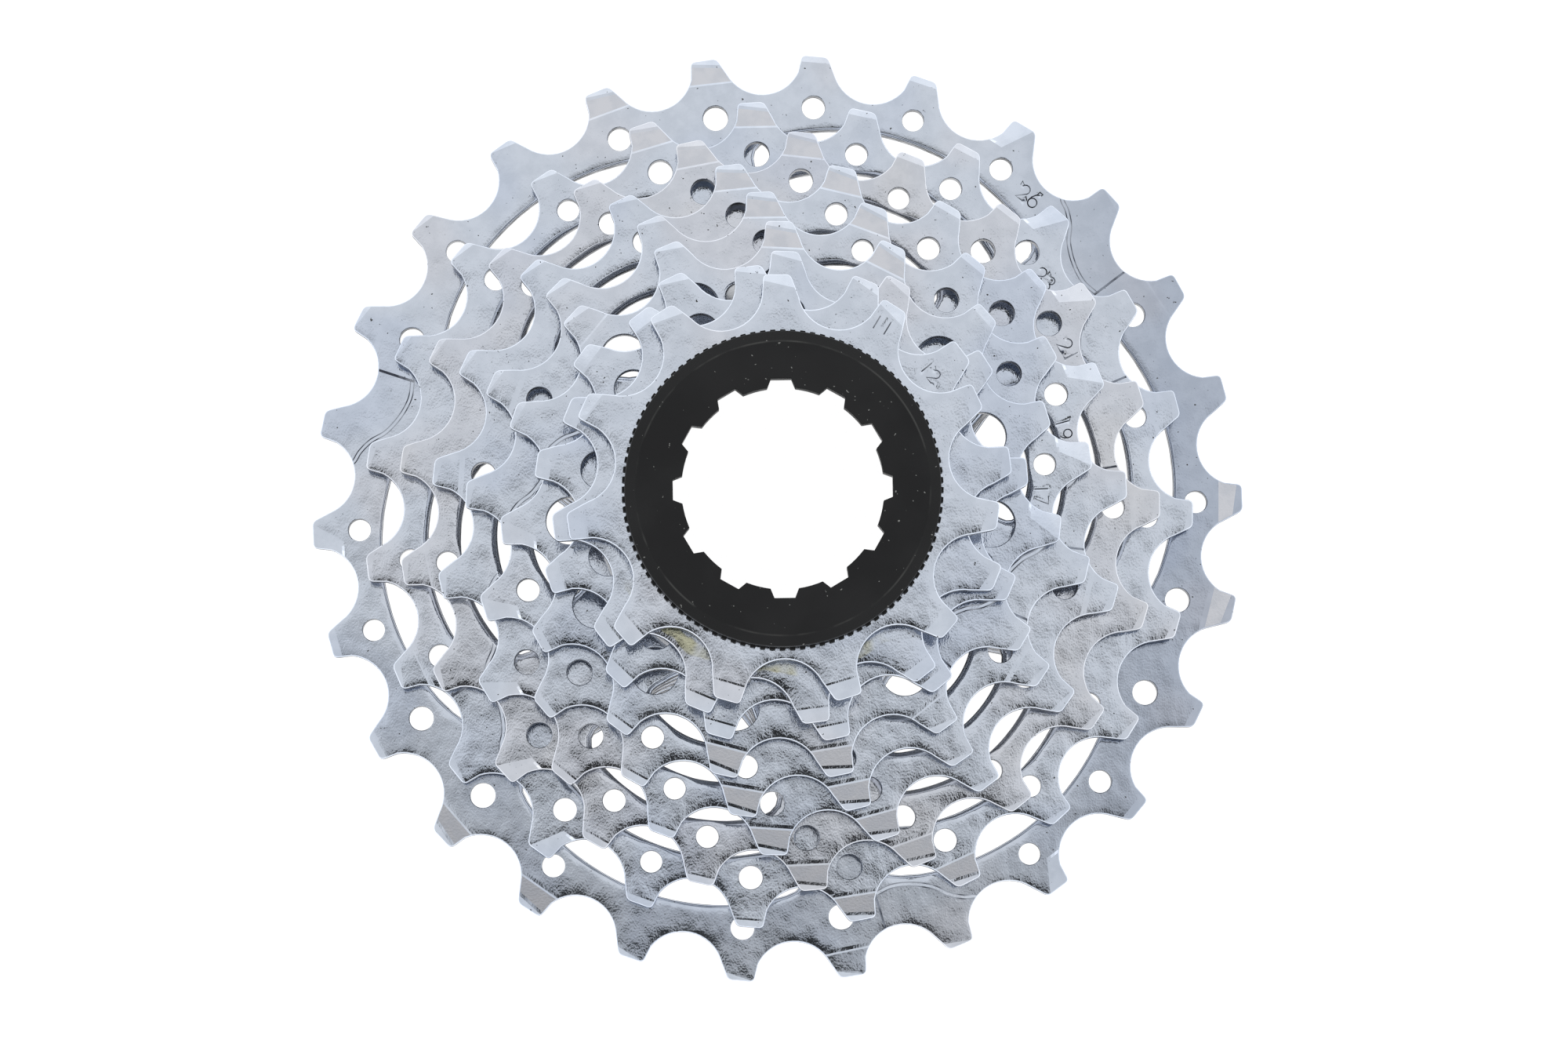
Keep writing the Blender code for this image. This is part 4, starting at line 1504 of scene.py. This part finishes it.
# %% Lockring
LOCKRING_RADIUS = 17.4
LOCKRING_LOW = 37.42
LOCKRING_HIGH = 39.32
LOCKRING_CHAMFER_WIDTH = 1.2
LOCKRING_CHAMFER_HEIGHT = 0.5
SLEEVE_RADIUS = 14.8
SLEEVE_BORE = 12.9
SLEEVE_LOW = 30.92
NOTCH_LOW = 36.9
TOOL_LAND_RADIUS = 11.15
TOOL_NOTCH_DEPTH = 0.95
TOOL_NOTCH_COUNT = 12
FIRST_NOTCH_ANGLE = 1.0
TOOL_NOTCH_WIDTH = 3.1
TOOL_NOTCH_FLOOR_WIDTH = 2.3
LAND_STEPS = 4


def tool_bore():
    """The notched hole that the lockring tool fits, anticlockwise."""
    mouth_half = TOOL_NOTCH_WIDTH / 2
    floor_half = TOOL_NOTCH_FLOOR_WIDTH / 2
    mouth = math.sqrt(TOOL_LAND_RADIUS**2 - mouth_half**2)
    floor = TOOL_LAND_RADIUS + TOOL_NOTCH_DEPTH
    turn = math.degrees(math.asin(mouth_half / TOOL_LAND_RADIUS))
    land = 360 / TOOL_NOTCH_COUNT - 2 * turn
    loop = []
    for index in range(TOOL_NOTCH_COUNT):
        axis = FIRST_NOTCH_ANGLE + index * 360 / TOOL_NOTCH_COUNT
        corners = ((-mouth_half, mouth), (-floor_half, floor), (floor_half, floor), (mouth_half, mouth))
        loop.extend(beside_axis(across, out, axis) for across, out in corners)
        turns = [axis + turn + land * step / LAND_STEPS for step in range(1, LAND_STEPS)]
        loop.extend(polar(TOOL_LAND_RADIUS, angle) for angle in turns)
    return np.array(loop)


def lockring_front(points):
    """A flat face with a wide chamfer at its rim."""
    radius = np.hypot(*points.T)
    crest = LOCKRING_RADIUS - LOCKRING_CHAMFER_WIDTH
    return LOCKRING_HIGH - np.clip((radius - crest) / LOCKRING_CHAMFER_WIDTH, 0, 1) * LOCKRING_CHAMFER_HEIGHT


def lockring_back(points):
    """The flange's back, the end of the sleeve further in, and the back of the notches inside it."""
    radius = np.hypot(*points.T)
    heights = np.where(radius < SLEEVE_RADIUS + WALL_SLANT / 2, SLEEVE_LOW, LOCKRING_LOW)
    return np.where(radius < SLEEVE_BORE - WALL_SLANT / 2, NOTCH_LOW, heights)


ring_radii = [LOCKRING_RADIUS - LOCKRING_CHAMFER_WIDTH]
ring_radii += [SLEEVE_RADIUS, SLEEVE_RADIUS + WALL_SLANT, SLEEVE_BORE, SLEEVE_BORE - WALL_SLANT]
ring_lines = [closed_line(circle(radius, RING_STEPS)) for radius in ring_radii]
lockring_loops = [circle(LOCKRING_RADIUS, RING_STEPS), tool_bore()]
lockring = build_slab(
    lockring_loops, [EDGE_REACH, HOLE_REACH], lockring_front, lockring_back, ring_lines, loose=[]
).to_object("notched_lockring", [coating], "lockring_body", "black_coating", "lockring")
print("lockring faces:", len(lockring.data.polygons))

# %% [markdown]
# ## The lockring's thread
# The thread shows when the lockring is unscrewed. It is one ridge with a pointed section that winds
# up the sleeve: each section is turned and lifted a little over the last one, and joined to it.

# %% Thread
THREAD_CREST = 15.2
THREAD_ROOT = 14.78
THREAD_PITCH = 1.058
THREAD_LOW = 31.4
THREAD_TURNS = 4.7
TURN_STEPS = 72
RIDGE_HALF_SHARE = 0.42

thread = Skin()
sections = []
for step in range(round(THREAD_TURNS * TURN_STEPS) + 1):
    angle = 360 * step / TURN_STEPS
    height = THREAD_LOW + THREAD_PITCH * step / TURN_STEPS
    radii = (THREAD_ROOT, THREAD_CREST, THREAD_ROOT)
    half = RIDGE_HALF_SHARE * THREAD_PITCH
    heights = (height - half, height, height + half)
    sections.append(thread.add([polar(radius, angle) for radius in radii], heights))
for first, second in zip(sections, sections[1:]):
    thread.band(first, second)
thread.fill([sections[0], sections[-1][::-1]], [PLATED, PLATED])
ridge = thread.to_object("lockring_thread", [coating], "lockring_body", "black_coating")
ridge.data.set_sharp_from_angle(angle=CREASE_ANGLE)
print("thread faces:", len(ridge.data.polygons))

# %% [markdown]
# ## The washer
# The washer is punched from thin sheet, so its edge is much smaller than that of the plates. It
# stands out a little under the lockring, and its gaps show the bright sprocket below.

# %% Washer
WASHER_LOW = 36.62
WASHER_HIGH = 37.32
WASHER_TOOTH_COUNT = 100
WASHER_RADIUS = 17.7
WASHER_TOOTH_DEPTH = 0.5
WASHER_EDGE = 0.04
WASHER_TOOTH = ((-0.25, 0), (0.25, 0), (0.35, WASHER_TOOTH_DEPTH), (0.65, WASHER_TOOTH_DEPTH))

serration = []
for index in range(WASHER_TOOTH_COUNT):
    for share, dip in WASHER_TOOTH:
        angle = (index + share) * 360 / WASHER_TOOTH_COUNT
        serration.append(polar(WASHER_RADIUS - dip, angle))
washer = build_slab(
    [np.array(serration), circle(LIP_RADIUS, RING_STEPS)],
    [WASHER_EDGE, WASHER_EDGE],
    lambda points: np.full(len(points), WASHER_HIGH),
    lambda points: np.full(len(points), WASHER_LOW),
    [],
    loose=[],
).to_object("serrated_washer", [coating], "washer", "black_steel", "lockring_washer")
print("washer faces:", len(washer.data.polygons))
